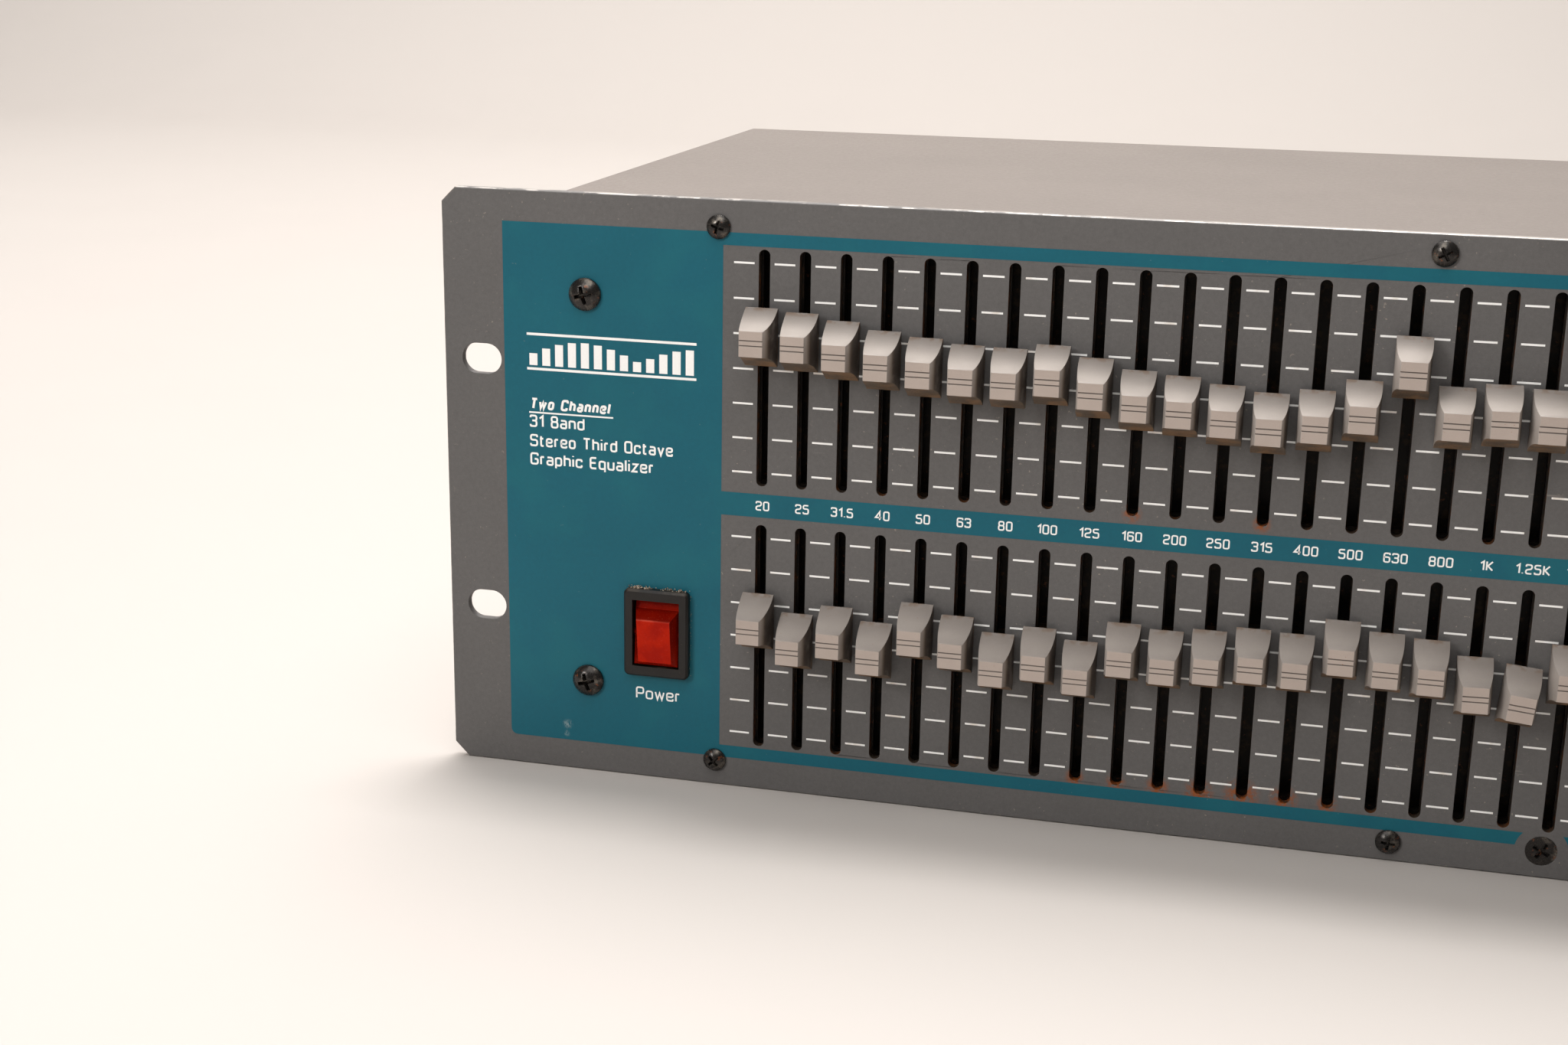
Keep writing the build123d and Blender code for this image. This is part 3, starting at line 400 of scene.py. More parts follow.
def rocker_red():
    """Clear red moulding, lighter and darker in patches, with a painted highlight along the crest and
    painted shade on its upper part, on its upward and downward turned faces, on its sides and on the
    pivot pins.
    """
    s = Shader("rocker_red")
    fine = s.noise(0.5, 3.0)
    patch = s.noise(3.2, 3.0, 0.5)
    colour = s.mix(s.rise(patch, 0.35, 0.65), srgb(158, 18, 0), srgb(180, 28, 0))
    colour = s.shade(colour, fine, 0.92, 1.08)
    # Painted shade: the faces turned upwards are darker.
    facing_up = s.rise(s.nz, 0.35, 0.7)
    colour = s.mix(s.times(facing_up, 0.75), colour, srgb(84, 8, 3))
    # Painted shade: the rocker above the recess line is darker.
    recess_z = SWITCH_Z + ROCKER_RECESS_RISE
    recess = s.rise(s.z, (recess_z - 0.2) * MM, (recess_z + 0.2) * MM)
    colour = s.mix(s.times(recess, 0.6), colour, srgb(104, 10, 3))
    # Painted shade on both sides.
    shaded_flank = s.rise(s.math("ABSOLUTE", s.nx), 0.3, 0.6)
    colour = s.mix(s.times(shaded_flank, 0.7), colour, srgb(72, 7, 3))
    # Painted shade on the faces turned downwards.
    foot = s.rise(s.nz, -0.4, -0.7)
    colour = s.mix(s.times(foot, 0.5), colour, srgb(84, 12, 5))
    # A painted pinkish highlight along the crest in front.
    from_ridge = s.apart(s.z, SWITCH_Z + ROCKER_RIDGE_RISE)
    ridge = s.times(s.rise(from_ridge, 0.3 * MM, 0.1 * MM), s.deep(-5.6, -5.9))
    colour = s.mix(s.times(ridge, s.rise(patch, 0.4, 0.6, 0.2, 0.6)), colour, srgb(214, 84, 66))
    dust = s.times(s.rise(s.noise(0.35, 2.0, shift=3.0), 0.70, 0.76), 0.25)
    colour = s.mix(dust, colour, srgb(190, 120, 100))
    # Painted shade: near black beyond the rocker's sides, where the pivot pins sit in the gap.
    from_middle = s.apart(s.x, SWITCH_X)
    pins = s.rise(from_middle, (ROCKER_SIDE - 0.03) * MM, (ROCKER_SIDE + 0.03) * MM)
    colour = s.mix(pins, colour, srgb(40, 8, 5))
    s.set("Base Color", colour)
    s.set("Roughness", s.line(fine, 0.3, 0.7, 0.16, 0.3))
    s.bsdf.inputs["Specular IOR Level"].default_value = 0.08
    s.bsdf.inputs["Coat Weight"].default_value = 0.02
    s.bsdf.inputs["Coat Roughness"].default_value = 0.12
    s.bump(s.times(s.noise(1.6, 2.0), 0.6), 0.03, 0.35)
    return s.material


def metal_finish(name, base, worn_colour, amount, roughness, metallic):
    """Plated or blackened steel, rubbed in places, with a trace of rust."""
    s = Shader(name)
    fine = s.noise(0.4, 4.0, 0.65)
    patch = s.noise(2.6, 4.0, 0.6)
    colour = s.shade(base, fine, 0.8, 1.2)
    worn = s.times(s.rise(patch, 0.5, 0.66), amount)
    colour = s.mix(worn, colour, worn_colour)
    rust = s.times(s.rise(s.noise(1.5, 4.0, 0.7, shift=4.0), 0.6, 0.7), 0.55)
    colour = s.mix(rust, colour, RUST)
    s.set("Base Color", colour)
    s.set("Metallic", s.line(rust, 0.0, 1.0, metallic, 0.0))
    s.set("Roughness", s.line(fine, 0.3, 0.7, roughness - 0.08, roughness + 0.1))
    s.bump(fine, 0.02, 0.6)
    return s.material


def board_green():
    """Green solder mask with tracks under it."""
    s = Shader("board_green")
    tracks = s.rise(s.noise(1.6, 1.0, 0.3, (1.0, 1.0, 0.12)), 0.5, 0.54)
    colour = s.mix(s.times(tracks, 0.5), srgb(24, 78, 40), srgb(46, 112, 60))
    colour = s.shade(colour, s.noise(9.0, 3.0), 0.88, 1.12)
    s.set("Base Color", colour)
    s.set("Roughness", s.line(s.noise(1.0), 0.3, 0.7, 0.3, 0.45))
    s.bump(tracks, 0.03, 0.6)
    return s.material


def connector_black():
    """Black connector mouldings, a little grey with handling."""
    s = Shader("connector_black")
    grain = s.noise(0.35, 3.0, 0.6)
    colour = s.shade(srgb(30, 29, 28), grain, 0.8, 1.25)
    colour = s.mix(s.times(s.rise(s.noise(3.0, 4.0), 0.5, 0.7), 0.3), colour, srgb(90, 82, 72))
    s.set("Base Color", colour)
    s.set("Roughness", s.line(grain, 0.3, 0.7, 0.34, 0.5))
    s.bump(grain, 0.03, 0.6)
    return s.material


def lens():
    """Clear tinted lamps: green, yellow and red from left to right."""
    s = Shader("led_lens")
    tint = srgb(40, 120, 52)
    for x, colour in zip(LED_X[1:], (srgb(176, 140, 30), srgb(150, 24, 14))):
        between = x - (LED_X[1] - LED_X[0]) / 2
        tint = s.mix(s.rise(s.x, (between - 0.2) * MM, (between + 0.2) * MM), tint, colour)
    tint = s.shade(tint, s.noise(0.5, 2.0), 0.85, 1.15)
    s.set("Base Color", tint)
    s.set("Roughness", s.line(s.noise(0.4), 0.3, 0.7, 0.12, 0.22))
    s.bsdf.inputs["Coat Weight"].default_value = 0.5
    s.bump(s.noise(0.8, 1.0), 0.02, 0.3)
    return s.material


def control_plastic():
    """Black knobs and buttons of the right-hand section, with a white line in the knobs' recess."""
    s = Shader("control_plastic")
    grain = s.noise(0.3, 3.0, 0.6)
    colour = s.shade(srgb(38, 36, 34), grain, 0.8, 1.25)
    colour = s.mix(s.times(s.rise(s.noise(5.0, 4.0), 0.48, 0.68), 0.25), colour, srgb(96, 84, 70))
    recess = s.rise(s.apart(s.x, CONTROL_KNOB_X), 0.45 * MM, 0.38 * MM)
    recess = s.times(recess, s.deep(-13.92, -13.86), s.deep(-13.2, -13.5))
    colour = s.mix(recess, colour, srgb(228, 224, 218))
    s.set("Base Color", colour)
    s.set("Roughness", s.line(grain, 0.3, 0.7, 0.4, 0.56))
    s.bump(grain, 0.03, 0.6)
    return s.material


def dust_beige():
    """Fluffy beige dust."""
    s = Shader("dust_beige")
    tone = s.noise(0.6, 3.0, 0.6)
    s.set("Base Color", s.mix(s.rise(tone, 0.35, 0.65), srgb(128, 106, 84), srgb(206, 190, 170)))
    s.set("Roughness", s.line(tone, 0.3, 0.7, 0.8, 0.95))
    s.bump(tone, 0.05, 1.0)
    return s.material


def stage_surface(name, base):
    """Matte pale paper for the floor and the backdrop."""
    s = Shader(name)
    tone = s.noise(60.0, 4.0, 0.6)
    s.set("Base Color", s.shade(base, tone, 0.98, 1.02))
    s.set("Roughness", s.line(tone, 0.3, 0.7, 0.75, 0.9))
    return s.material


PANEL_ENAMEL = enamel("panel_enamel", srgb(97, 95, 94), True)
# The case's grey is the panel's paint made lighter and warmer: painted light from above on the cover.
LIT_CASE_ENAMEL = enamel("lit_case_enamel", srgb(113, 105, 100), False)
TEAL = teal_ink()
WHITE = white_ink()
KNOB = knob_plastic()
BEZEL_PLASTIC = dark_plastic("bezel_plastic", srgb(24, 21, 19), 0.12)
ROCKER = rocker_red()
SCREW = metal_finish("screw_black", srgb(46, 43, 41), srgb(112, 105, 96), 0.6, 0.26, 0.6)
FADER_STEEL = metal_finish("frame_dark", srgb(34, 29, 25), srgb(70, 52, 34), 0.6, 0.5, 0.4)
BOARD = board_green()
IRON = metal_finish("transformer_iron", srgb(52, 48, 44), srgb(110, 82, 46), 0.4, 0.55, 0.5)
CONNECTOR = connector_black()
LENS = lens()
CONTROL = control_plastic()
CONTACT = metal_finish("contact_plate", srgb(176, 168, 152), srgb(150, 128, 90), 0.6, 0.28, 0.95)
DUST = dust_beige()


# ---------------------------------------------------------------- CAD nodes that are shown
# The material of each node, and how far its sharp edges are rounded.
NODE_FINISH = {
    "front_panel": (PANEL_ENAMEL, 0.1),
    "top_cover": (LIT_CASE_ENAMEL, 0.12),
    "chassis_tray": (LIT_CASE_ENAMEL, 0.12),
    "pan_screws_m3": (SCREW, 0.08),
    "pan_screws_m4": (SCREW, 0.1),
    "countersunk_screws": (SCREW, 0.06),
    "power_switch_housing": (BEZEL_PLASTIC, 0.25),
    "power_rocker": (ROCKER, 0.22),
    "fader_frames": (FADER_STEEL, 0.0),
    "fader_board": (BOARD, 0.0),
    "control_board": (BOARD, 0.0),
    "main_board": (BOARD, 0.0),
    "power_transformer": (IRON, 0.3),
    "mains_inlet": (CONNECTOR, 0.2),
    "xlr_inputs": (CONNECTOR, 0.15),
    "xlr_outputs": (CONNECTOR, 0.15),
    "status_leds": (LENS, 0.0),
}


WELD = 0.001
SHARP_FROM = 38


def finish_node(name, material, edge):
    """Gives a CAD node its material and rounds its sharp edges."""
    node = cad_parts[name]
    for slot in node.material_slots:
        slot.link = "OBJECT"
        slot.material = material
    if edge:
        weld = node.modifiers.new("weld", "WELD")
        weld.merge_threshold = WELD * MM
        bevel = node.modifiers.new("bevel", "BEVEL")
        bevel.width = edge * MM
        bevel.segments = 2
        bevel.limit_method = "ANGLE"
        bevel.angle_limit = math.radians(SHARP_FROM)
        bevel.harden_normals = True
        bevel.use_clamp_overlap = True


for node_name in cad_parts:
    if node_name in NODE_FINISH:
        finish_node(node_name, *NODE_FINISH[node_name])
    elif node_name.startswith("fader"):
        finish_node(node_name, KNOB, 0.08)
    else:
        finish_node(node_name, CONTROL, 0.15)


# ---------------------------------------------------------------- flat print
def new_piece(name, mesh, material, body="case"):
    """Puts a mesh in the scene as a piece that rides on a body."""
    mesh.materials.append(material)
    piece = bpy.data.objects.new(name, mesh)
    bpy.context.scene.collection.objects.link(piece)
    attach(piece, body)
    return piece


def arc(centre_x, centre_z, radius, start, end, steps=20):
    """Points round a circle on the panel, with angles in degrees from +X towards +Z."""
    angles = [math.radians(start + (end - start) * i / steps) for i in range(steps + 1)]
    return [(centre_x + radius * math.cos(a), centre_z + radius * math.sin(a)) for a in angles]


def bite(side_z, edge_z, inner_z):
    """Angles at which the clear circle round a countersunk screw meets the stripe's two edges."""
    outer = math.degrees(math.asin((edge_z - side_z) / CSK_CLEAR))
    inner = math.degrees(math.asin((inner_z - side_z) / CSK_CLEAR))
    return outer, inner


def film(name, outline, holes, front, thickness, material):
    """A flat film on the panel, its outline and holes given as lists of (x, z)."""
    curve = bpy.data.curves.new(name, "CURVE")
    curve.dimensions = "2D"
    curve.fill_mode = "BOTH"
    curve.extrude = thickness * MM / 2
    for ring in [outline] + holes:
        spline = curve.splines.new("POLY")
        spline.points.add(len(ring) - 1)
        for point, (x, z) in zip(spline.points, ring):
            point.co = (x * MM, z * MM, 0.0, 1.0)
        spline.use_cyclic_u = True
    shape = bpy.data.objects.new(name + "_curve", curve)
    bpy.context.scene.collection.objects.link(shape)
    bpy.context.view_layer.update()
    mesh = bpy.data.meshes.new_from_object(shape)
    mesh.name = name
    upright = Matrix.Rotation(math.pi / 2, 4, "X")
    mesh.transform(Matrix.Translation((0, (front + thickness / 2) * MM, 0)) @ upright)
    bpy.data.objects.remove(shape)
    return new_piece(name, mesh, material)


def teal_outline():
    """The teal field: a block at each end, two thin stripes, and the band between the rows."""
    low_outer, low_inner = bite(-CSK_Z, TEAL_BOTTOM, WINDOW_BOTTOM)
    high_outer, high_inner = bite(CSK_Z, TEAL_TOP, WINDOW_TOP)
    low_left = arc(0, -CSK_Z, CSK_CLEAR, 180 - low_outer, 180 - low_inner)
    low_right = arc(0, -CSK_Z, CSK_CLEAR, low_inner, low_outer)
    high_right = arc(0, CSK_Z, CSK_CLEAR, high_outer, high_inner)
    high_left = arc(0, CSK_Z, CSK_CLEAR, 180 - high_inner, 180 - high_outer)
    return (
        arc(TEAL_LEFT + TEAL_CORNER, TEAL_BOTTOM + TEAL_CORNER, TEAL_CORNER, 180, 270, 6) + low_left
        + [(WINDOW_LEFT, WINDOW_BOTTOM), (WINDOW_LEFT, BAND_BOTTOM)]
        + [(WINDOW_RIGHT, BAND_BOTTOM), (WINDOW_RIGHT, WINDOW_BOTTOM)] + low_right
        + arc(TEAL_RIGHT - TEAL_CORNER, TEAL_BOTTOM + TEAL_CORNER, TEAL_CORNER, 270, 360, 6)
        + [(TEAL_RIGHT, TEAL_TOP)] + high_right
        + [(WINDOW_RIGHT, WINDOW_TOP), (WINDOW_RIGHT, BAND_TOP)]
        + [(WINDOW_LEFT, BAND_TOP), (WINDOW_LEFT, WINDOW_TOP)] + high_left
        + [(TEAL_LEFT, TEAL_TOP)]
    )


def rectangle(x, z, width, height):
    """A rectangle's corners, given its middle."""
    return [
        (x - width / 2, z - height / 2), (x + width / 2, z - height / 2),
        (x + width / 2, z + height / 2), (x - width / 2, z + height / 2),
    ]


def circle(x, z, radius):
    """A whole circle as 24 points."""
    return arc(x, z, radius, 0, 345, 23)


holes = [rectangle(SWITCH_X, SWITCH_Z, *SWITCH_CUTOUT)]
for row in ROWS.values():
    holes.append(circle(CONTROL_KNOB_X, row, KNOB_CLEAR))
    holes.append(circle(EQ_BUTTON_X, row, BUTTON_CLEAR))
    holes += [circle(x, row + LED_RISE, LED_CLEAR) for x in LED_X]
film("teal_field", teal_outline(), holes, PANEL_FRONT - INK, INK, TEAL)

# ---------------------------------------------------------------- lettering
# Each glyph is a width and some strokes. A stroke is a list of points from the base line at 0 to
# the capitals' height at 1, its corners rounded unless its list starts with "sharp". XH is the
# height of small letters, W the width of figures and narrow capitals, C that of wide capitals.
XH = 0.70
W = 0.50
C = 0.56


def ring(left, bottom, right, top):
    return ["ring", (left, bottom), (right, bottom), (right, top), (left, top)]


GLYPHS = {
    " ": (0.20, []),
    ".": (0.04, [["sharp", (0.02, -0.02), (0.02, 0.06)]]),
    "0": (W, [ring(0, 0, W, 1)]),
    "1": (0.26, [["sharp", (0, 0.76), (0.26, 1.0), (0.26, 0)]]),
    "2": (W, [[(0, 0.78), (0, 1), (W, 1), (W, 0.54), (0, 0.42), (0, 0), (W, 0)]]),
    "3": (W, [
        [(0, 0.82), (0, 1), (W, 1), (W, 0.53), (0.14, 0.53)],
        [(0.14, 0.53), (W, 0.53), (W, 0), (0, 0), (0, 0.18)],
    ]),
    "4": (0.56, [["sharp", (0.42, 0), (0.42, 1), (0, 0.28), (0.56, 0.28)]]),
    "5": (W, [[(W, 1), (0, 1), (0, 0.58), (W, 0.58), (W, 0), (0, 0), (0, 0.18)]]),
    "6": (W, [[(W, 0.82), (W, 1), (0, 1), (0, 0), (W, 0), (W, 0.56), (0, 0.56)]]),
    "8": (W, [ring(0, 0, W, 0.53), ring(0.02, 0.53, W - 0.02, 1)]),
    "B": (W, [ring(0, 0, W, 0.53), ring(0, 0.53, W - 0.03, 1)]),
    "C": (C, [[(C, 0.76), (C, 1), (0, 1), (0, 0), (C, 0), (C, 0.24)]]),
    "E": (0.48, [[(0.48, 1), (0, 1), (0, 0), (0.48, 0)], [(0, 0.52), (0.44, 0.52)]]),
    "G": (C, [[(C, 0.78), (C, 1), (0, 1), (0, 0), (C, 0), (C, 0.47), (0.3, 0.47)]]),
    "I": (0.0, [[(0, 0), (0, 1)]]),
    "K": (0.52, [[(0, 0), (0, 1)], ["sharp", (0.5, 1), (0.1, 0.5), (0.52, 0)]]),
    "L": (0.44, [["sharp", (0, 1), (0, 0), (0.44, 0)]]),
    "O": (C, [ring(0, 0, C, 1)]),
    "P": (0.52, [[(0, 0), (0, 1), (0.52, 1), (0.52, 0.44), (0, 0.44)]]),
    "Q": (C, [ring(0, 0, C, 1), ["sharp", (0.36, 0.2), (0.64, -0.1)]]),
    "S": (C, [[(C, 0.8), (C, 1), (0, 1), (0, 0.53), (C, 0.53), (C, 0), (0, 0), (0, 0.2)]]),
    "T": (C, [[(0, 1), (C, 1)], [(C / 2, 1), (C / 2, 0)]]),
    "a": (0.46, [[(0.02, XH), (0.46, XH), (0.46, 0)], [(0.46, 0), (0, 0), (0, 0.38), (0.46, 0.38)]]),
    "c": (0.44, [[(0.44, 0.5), (0.44, XH), (0, XH), (0, 0), (0.44, 0), (0.44, 0.2)]]),
    "d": (0.46, [ring(0, 0, 0.46, XH), [(0.46, 0), (0.46, 1)]]),
    "e": (0.46, [[(0.46, 0.16), (0.46, 0), (0, 0), (0, XH), (0.46, XH), (0.46, 0.35), (0, 0.35)]]),
    "g": (0.46, [ring(0, 0, 0.46, XH), [(0.46, XH), (0.46, -0.28), (0.04, -0.28)]]),
    "h": (0.46, [[(0, 0), (0, 1)], [(0, XH), (0.46, XH), (0.46, 0)]]),
    "i": (0.0, [[(0, 0), (0, XH)], ["sharp", (0, 0.93), (0, 1.02)]]),
    "l": (0.0, [[(0, 0), (0, 1)]]),
    "n": (0.46, [[(0, 0), (0, XH)], [(0, XH), (0.46, XH), (0.46, 0)]]),
    "o": (0.46, [ring(0, 0, 0.46, XH)]),
    "p": (0.46, [ring(0, 0, 0.46, XH), [(0, -0.28), (0, XH)]]),
    "q": (0.46, [ring(0, 0, 0.46, XH), [(0.46, -0.28), (0.46, XH)]]),
    "r": (0.26, [[(0, 0), (0, XH)], [(0, XH), (0.26, XH)]]),
    "t": (0.28, [[(0.06, 0.92), (0.06, 0), (0.28, 0)], [(-0.04, XH), (0.26, XH)]]),
    "u": (0.46, [[(0, XH), (0, 0), (0.46, 0)], [(0.46, 0), (0.46, XH)]]),
    "v": (0.46, [["sharp", (0, XH), (0.23, 0), (0.46, XH)]]),
    "w": (0.66, [["sharp", (0, XH), (0.16, 0), (0.33, 0.62), (0.50, 0), (0.66, XH)]]),
    "z": (0.44, [["sharp", (0, XH), (0.44, XH), (0, 0), (0.44, 0)]]),
}
CORNER = 0.17
LETTER_GAP = 0.125


def rounded(points, closed, radius, steps=5):
    """A line's points with each corner replaced by a round one."""
    made = []
    count = len(points)
    for i, corner in enumerate(points):
        if not closed and i in (0, count - 1):
            made.append(corner)
            continue
        before, after = points[i - 1], points[(i + 1) % count]
        to_before, to_after = before - corner, after - corner
        reach = min(radius, to_before.length / 2, to_after.length / 2)
        start = corner + to_before.normalized() * reach
        end = corner + to_after.normalized() * reach
        for step in range(steps + 1):
            t = step / steps
            made.append(start * (1 - t) ** 2 + corner * 2 * t * (1 - t) + end * t ** 2)
    return made


class Print:
    """Strokes of ink gathered in one mesh."""

    def __init__(self, back, thickness):
        self.bm = bmesh.new()
        self.back = back
        self.front = back - thickness

    def stroke(self, points, width, closed=False, lift=0.0):
        """A flat line of ink through (x, z) points, its corners mitred."""
        points = [p for i, p in enumerate(points) if i == 0 or (p - points[i - 1]).length > 1e-4]
        if closed and (points[0] - points[-1]).length < 1e-4:
            points.pop()
        count = len(points)
        rings = []
        for i, here in enumerate(points):
            before = points[i - 1] if closed or i else None
            after = points[(i + 1) % count] if closed or i < count - 1 else None
            into = (here - before).normalized() if before is not None else (after - here).normalized()
            out = (after - here).normalized() if after is not None else into
            normal = Vector((-(into + out).y, (into + out).x)).normalized()
            reach = width / 2 / max(0.35, normal.dot(Vector((-into.y, into.x))))
            corners = []
            for side in (1, -1):
                at = here + normal * reach * side
                for y in (self.front - lift, self.back):
                    corners.append(self.bm.verts.new((at.x * MM, y * MM, at.y * MM)))
            rings.append(corners)
        pairs = list(zip(rings, rings[1:]))
        if closed:
            pairs.append((rings[-1], rings[0]))
        for a, b in pairs:
            for i, j in ((0, 2), (2, 3), (3, 1), (1, 0)):
                self.bm.faces.new((a[i], a[j], b[j], b[i]))
        if not closed:
            for end in (rings[0], rings[-1]):
                self.bm.faces.new((end[0], end[1], end[3], end[2]))

    def words(self, text, x, z, height, weight, stretch=1.0, slant=0.0, anchor=0.0):
        """Writes words with their base line at z. The anchor is 0 for left and 0.5 for centred."""
        thick = weight * height
        rise = height - thick
        advance = []
        for letter in text:
            advance.append(GLYPHS[letter][0] * height * stretch + thick + LETTER_GAP * height)
        total = sum(advance) - LETTER_GAP * height
        left = x - total * anchor
        for letter, step in zip(text, advance):
            for order, stroke in enumerate(GLYPHS[letter][1]):
                kind = stroke[0] if isinstance(stroke[0], str) else ""
                raw = stroke[1:] if kind else stroke
                line = []
                for px, pz in raw:
                    up = thick / 2 + pz * rise
                    line.append(Vector((left + thick / 2 + px * height * stretch + slant * up, z + up)))
                if kind != "sharp":
                    line = rounded(line, kind == "ring", CORNER * height)
                self.stroke(line, thick, kind == "ring", 0.002 * order)
            left += step

    def piece(self, name):
        """Turns the strokes into one piece of white print."""
        bmesh.ops.recalc_face_normals(self.bm, faces=self.bm.faces)
        mesh = bpy.data.meshes.new(name)
        self.bm.to_mesh(mesh)
        self.bm.free()
        return new_piece(name, mesh, WHITE)


def flat(x1, z1, x2, z2):
    return [Vector((x1, z1)), Vector((x2, z2))]


ticks = Print(PANEL_FRONT, INK)
for row in ROWS.values():
    for column in range(len(COLUMNS) + 1):
        middle = FIRST_COLUMN_X + COLUMN_PITCH * (column - 0.5)
        left, right = middle - TICK_LENGTH / 2, middle + TICK_LENGTH / 2
        for step in range(-3, 4):
            level = row + SCALE_STEP * step
            ticks.stroke(flat(left, level, right, level), TICK_WIDTH)
ticks.piece("scale_lines")

LABEL_HEIGHT = 2.15
labels = Print(PANEL_FRONT - INK, INK)
for column, text in zip(COLUMNS, BAND_LABELS):
    labels.words(text, column + 0.25, -1.1, LABEL_HEIGHT, 0.15, 1.02, anchor=0.5)
labels.piece("band_labels")

# A generic mark stands between the two rules: bars like a bank of filters.
MARK_LEFT = -221.9
MARK_RIGHT = -183.0
MARK_RULES_Z = (34.8, 27.05)
MARK_FOOT_Z = 27.85
MARK_BARS = 13
BAR_SHARE = 0.62
FINE_LINE = 0.36
TEXT_LEFT = -221.5
heading = Print(PANEL_FRONT - INK, INK)
for level in MARK_RULES_Z:
    heading.stroke(flat(MARK_LEFT, level, MARK_RIGHT, level), 0.56)
bar_pitch = (MARK_RIGHT - MARK_LEFT) / MARK_BARS
for i in range(MARK_BARS):
    bar_x = MARK_LEFT + bar_pitch * (i + 0.5)
    tall = 2.0 + 3.6 * abs(math.sin(math.pi * (i + 0.5) / MARK_BARS * 1.5))
    heading.stroke(flat(bar_x, MARK_FOOT_Z, bar_x, MARK_FOOT_Z + tall), bar_pitch * BAR_SHARE)
heading.words("Two Channel", TEXT_LEFT, 17.9, 2.6, 0.2, 0.78, 0.18)
heading.stroke(flat(TEXT_LEFT - 0.1, 17.2, -202.0, 17.2), FINE_LINE)
heading.words("31 Band", TEXT_LEFT, 13.85, 2.8, 0.15, 0.98)
heading.words("Stereo Third Octave", TEXT_LEFT, 9.45, 2.8, 0.15, 0.93)
heading.words("Graphic Equalizer", TEXT_LEFT, 5.25, 2.8, 0.15, 0.98)
heading.words("Power", SWITCH_X, -47.55, 2.86, 0.13, 1.06, anchor=0.5)
for number, row in ROWS.items():
    heading.words(f"Channel {number}", 204.0, row - 1.2, 2.4, 0.15, 0.98, anchor=0.5)
    heading.words("Level", CONTROL_KNOB_X, row - 17.5, 2.4, 0.15, 0.98, anchor=0.5)
    heading.words("EQ In", EQ_BUTTON_X, row - 9.4, 2.2, 0.15, 0.98, anchor=0.5)
    for x, text in zip(LED_X, ("Sig", "EQ", "Clip")):
        heading.words(text, x, row + LED_RISE + 3.0, 1.6, 0.14, 0.9, anchor=0.5)
    centre = Vector((CONTROL_KNOB_X, row))
    for i in range(11):
        angle = math.radians(240 - 30 * i)
        direction = Vector((math.cos(angle), math.sin(angle)))
        heading.stroke([centre + direction * 10.0, centre + direction * 11.8], FINE_LINE)
heading.piece("panel_lettering")


# ---------------------------------------------------------------- dust round the bezel
def grains(name, seed, count, place, size):
    """Small irregular grains gathered in one mesh."""
    chance = random.Random(seed)
    bm = bmesh.new()
    for _ in range(count):
        at = place(chance)
        grown = size * chance.uniform(0.4, 1.3)
        turn = Euler([chance.uniform(0, 6.28) for _ in range(3)]).to_matrix().to_4x4()
        width = grown * chance.uniform(0.4, 0.9)
        height = grown * chance.uniform(0.4, 1.0)
        form = Matrix.Translation(at) @ turn @ Matrix.Diagonal((grown, width, height, 1))
        made = bmesh.ops.create_icosphere(bm, subdivisions=1, radius=MM, matrix=form)
        for vertex in made["verts"]:
            vertex.co += Vector([chance.uniform(-0.12, 0.12) * grown * MM for _ in range(3)])
    mesh = bpy.data.meshes.new(name)
    bm.to_mesh(mesh)
    bm.free()
    return new_piece(name, mesh, DUST)


# Clumps of dust along the bezel's top: place from its middle, spread, and share of the grains.
CLUMPS = [(-4.6, 0.9, 5), (-2.2, 0.5, 3), (0.6, 1.4, 1), (3.4, 1.1, 2), (5.6, 0.7, 1)]


def on_bezel_top(chance):
    """A place in one of the clumps of dust, most of them towards the panel."""
    middle, spread, _ = chance.choices(CLUMPS, [clump[2] for clump in CLUMPS])[0]
    return Vector((
        (SWITCH_X + chance.gauss(middle, spread)) * MM,
        (PANEL_FRONT - 0.1 - 1.3 * chance.random() ** 2) * MM,
        (SWITCH_Z + BEZEL[1] / 2 + 0.5 * chance.random() ** 2) * MM,
    ))


def on_bezel_sides(chance):
    """A place where one of the bezel's sides meets the panel."""
    side = chance.choice((-1, 1))
    return Vector((
        (SWITCH_X + side * (BEZEL[0] / 2 + chance.uniform(0.0, 0.3))) * MM,
        (PANEL_FRONT - chance.uniform(0.02, 0.25)) * MM,
        (SWITCH_Z + chance.uniform(-0.5, 0.5) * BEZEL[1]) * MM,
    ))


grains("bezel_dust", 4, 150, on_bezel_top, 0.16)
grains("bezel_side_dust", 5, 50, on_bezel_sides, 0.09)


# ---------------------------------------------------------------- connector contacts
def contact_pin(bm, x, y_back, y_front, z, radius):
    """A round pin along Y with a domed end."""
    rings = []
    dome = [(y_front - radius * 0.8, 1.0), (y_front - radius * 0.25, 0.75), (y_front, 0.3)]
    for y, share in [(y_back, 1.0)] + dome:
        ring_points = arc(x, z, radius * share, 0, 330, 11)
        rings.append([bm.verts.new((px * MM, y * MM, pz * MM)) for px, pz in ring_points])
    for a, b in zip(rings, rings[1:]):
        for i in range(12):
            bm.faces.new((a[i], a[(i + 1) % 12], b[(i + 1) % 12], b[i]))
    bm.faces.new(rings[0])
    bm.faces.new(rings[-1])


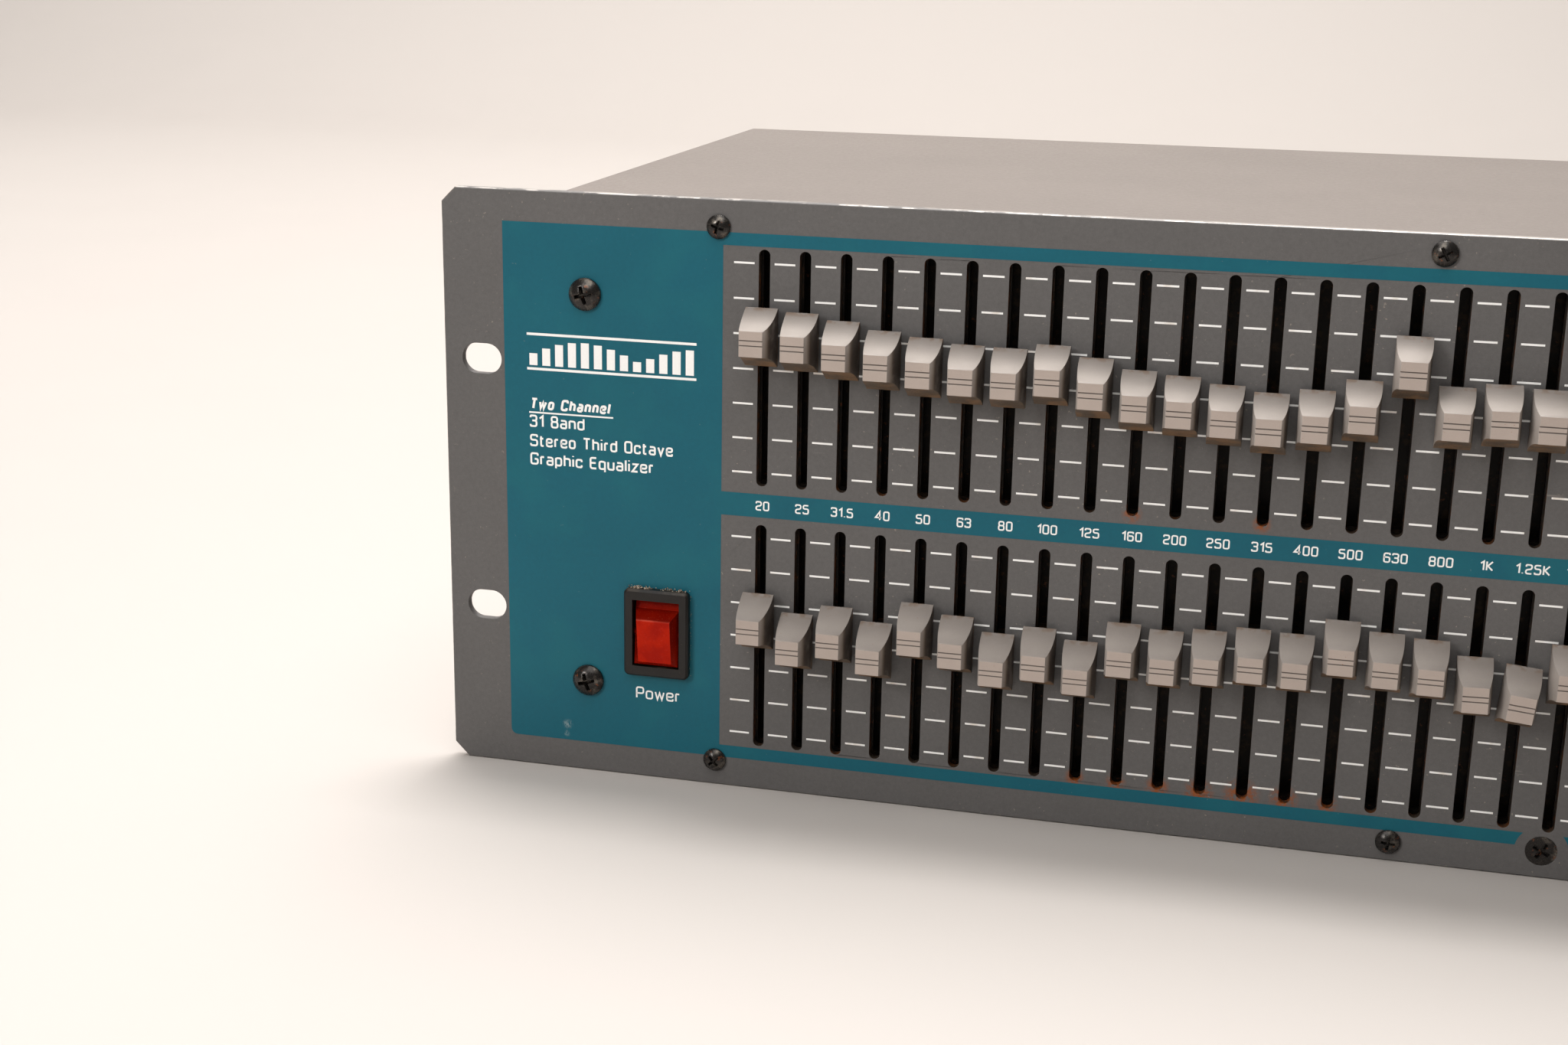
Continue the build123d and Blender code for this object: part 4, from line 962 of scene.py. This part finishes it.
XLR_OUT = [(150.0, 28.0), (150.0, -26.0)]
XLR_PINS = [(3.6, 1.6), (-3.6, 1.6), (0, -3.9)]
PIN_BACK = 144.5
PIN_TIP = 159.15
PIN_RADIUS = 1.25
contacts = bmesh.new()
for x, z in XLR_OUT:
    for dx, dz in XLR_PINS:
        contact_pin(contacts, x + dx, PIN_BACK, PIN_TIP, z + dz, PIN_RADIUS)
bmesh.ops.recalc_face_normals(contacts, faces=contacts.faces)
contact_mesh = bpy.data.meshes.new("xlr_pins")
contacts.to_mesh(contact_mesh)
contacts.free()
new_piece("xlr_pins", contact_mesh, CONTACT)


# ---------------------------------------------------------------- stage, light and camera
SWEEP_NEAR_Y = -2.5
SWEEP_BEND_Y = 1.4
SWEEP_RADIUS = 0.5
SWEEP_TOP_Z = 2.6
SWEEP_HALF_WIDTH = 3.0


def stage_sheet(name, base):
    """A floor that curves up into a backdrop."""
    bm = bmesh.new()
    floor = FLOOR_Z * MM
    profile = [(SWEEP_NEAR_Y, floor - 0.0001), (SWEEP_BEND_Y, floor - 0.0001)]
    for i in range(1, 13):
        angle = math.radians(90 * i / 12)
        y = SWEEP_BEND_Y + SWEEP_RADIUS * math.sin(angle)
        profile.append((y, floor + SWEEP_RADIUS - SWEEP_RADIUS * math.cos(angle)))
    profile.append((SWEEP_BEND_Y + SWEEP_RADIUS, SWEEP_TOP_Z))
    sides = (-SWEEP_HALF_WIDTH, SWEEP_HALF_WIDTH)
    rows = [[bm.verts.new((x, y, z)) for x in sides] for y, z in profile]
    for a, b in zip(rows, rows[1:]):
        bm.faces.new((a[0], a[1], b[1], b[0])).smooth = True
    mesh = bpy.data.meshes.new(name)
    bm.to_mesh(mesh)
    bm.free()
    mesh.materials.append(stage_surface(name, base))
    sheet = bpy.data.objects.new(name, mesh)
    bpy.context.scene.collection.objects.link(sheet)


stage_sheet("studio_sweep", srgb(186, 180, 175))


def soft_light(name, place, aim, width, power, colour):
    """A square area light of a width in metres and a power in watts."""
    lamp = bpy.data.lights.new(name, "AREA")
    lamp.shape = "SQUARE"
    lamp.size = width
    lamp.energy = power
    lamp.color = colour
    holder = bpy.data.objects.new(name, lamp)
    holder.location = place
    holder.rotation_euler = (Vector(aim) - Vector(place)).to_track_quat("-Z", "Y").to_euler()
    bpy.context.scene.collection.objects.link(holder)


soft_light("key_light", (-0.95, -1.15, 0.7), (-0.1, 0.0, 0.0), 0.4, 8.5, (1.0, 0.98, 0.96))
soft_light("over_light", (-0.15, -0.22, 0.42), (-0.1, -0.02, 0.0), 0.4, 1.5, (1.0, 0.985, 0.97))
soft_light("crown_light", (-0.12, 0.2, 1.2), (-0.12, 0.0, 0.0), 0.24, 8.0, (1.0, 0.985, 0.97))
soft_light("top_light", (0.1, 0.75, 1.4), (-0.05, 0.15, 0.0), 1.3, 11.0, (1.0, 0.97, 0.945))
soft_light("wall_light", (-0.7, 1.0, 1.9), (-0.85, 1.8, 0.0), 1.8, 58.0, (1.0, 0.975, 0.955))

world = bpy.data.worlds.new("studio")
world.use_nodes = True
world.node_tree.nodes["Background"].inputs["Color"].default_value = (1.0, 0.96, 0.92, 1.0)
world.node_tree.nodes["Background"].inputs["Strength"].default_value = 0.12
bpy.context.scene.world = world
bpy.context.scene.view_settings.view_transform = "Standard"

# The camera as it was fitted to the photograph, its turn in degrees.
CAMERA_PLACE = (-0.05194, -0.44251, 0.12336)
CAMERA_TURN = (74.416, -0.899, 14.395)
camera = bpy.data.cameras.new("camera")
camera.lens = 49.69
camera.sensor_width = 36.0
camera.clip_start = 0.01
camera_holder = bpy.data.objects.new("camera", camera)
camera_holder.location = CAMERA_PLACE
camera_holder.rotation_euler = [math.radians(a) for a in CAMERA_TURN]
bpy.context.scene.collection.objects.link(camera_holder)
bpy.context.scene.camera = camera_holder
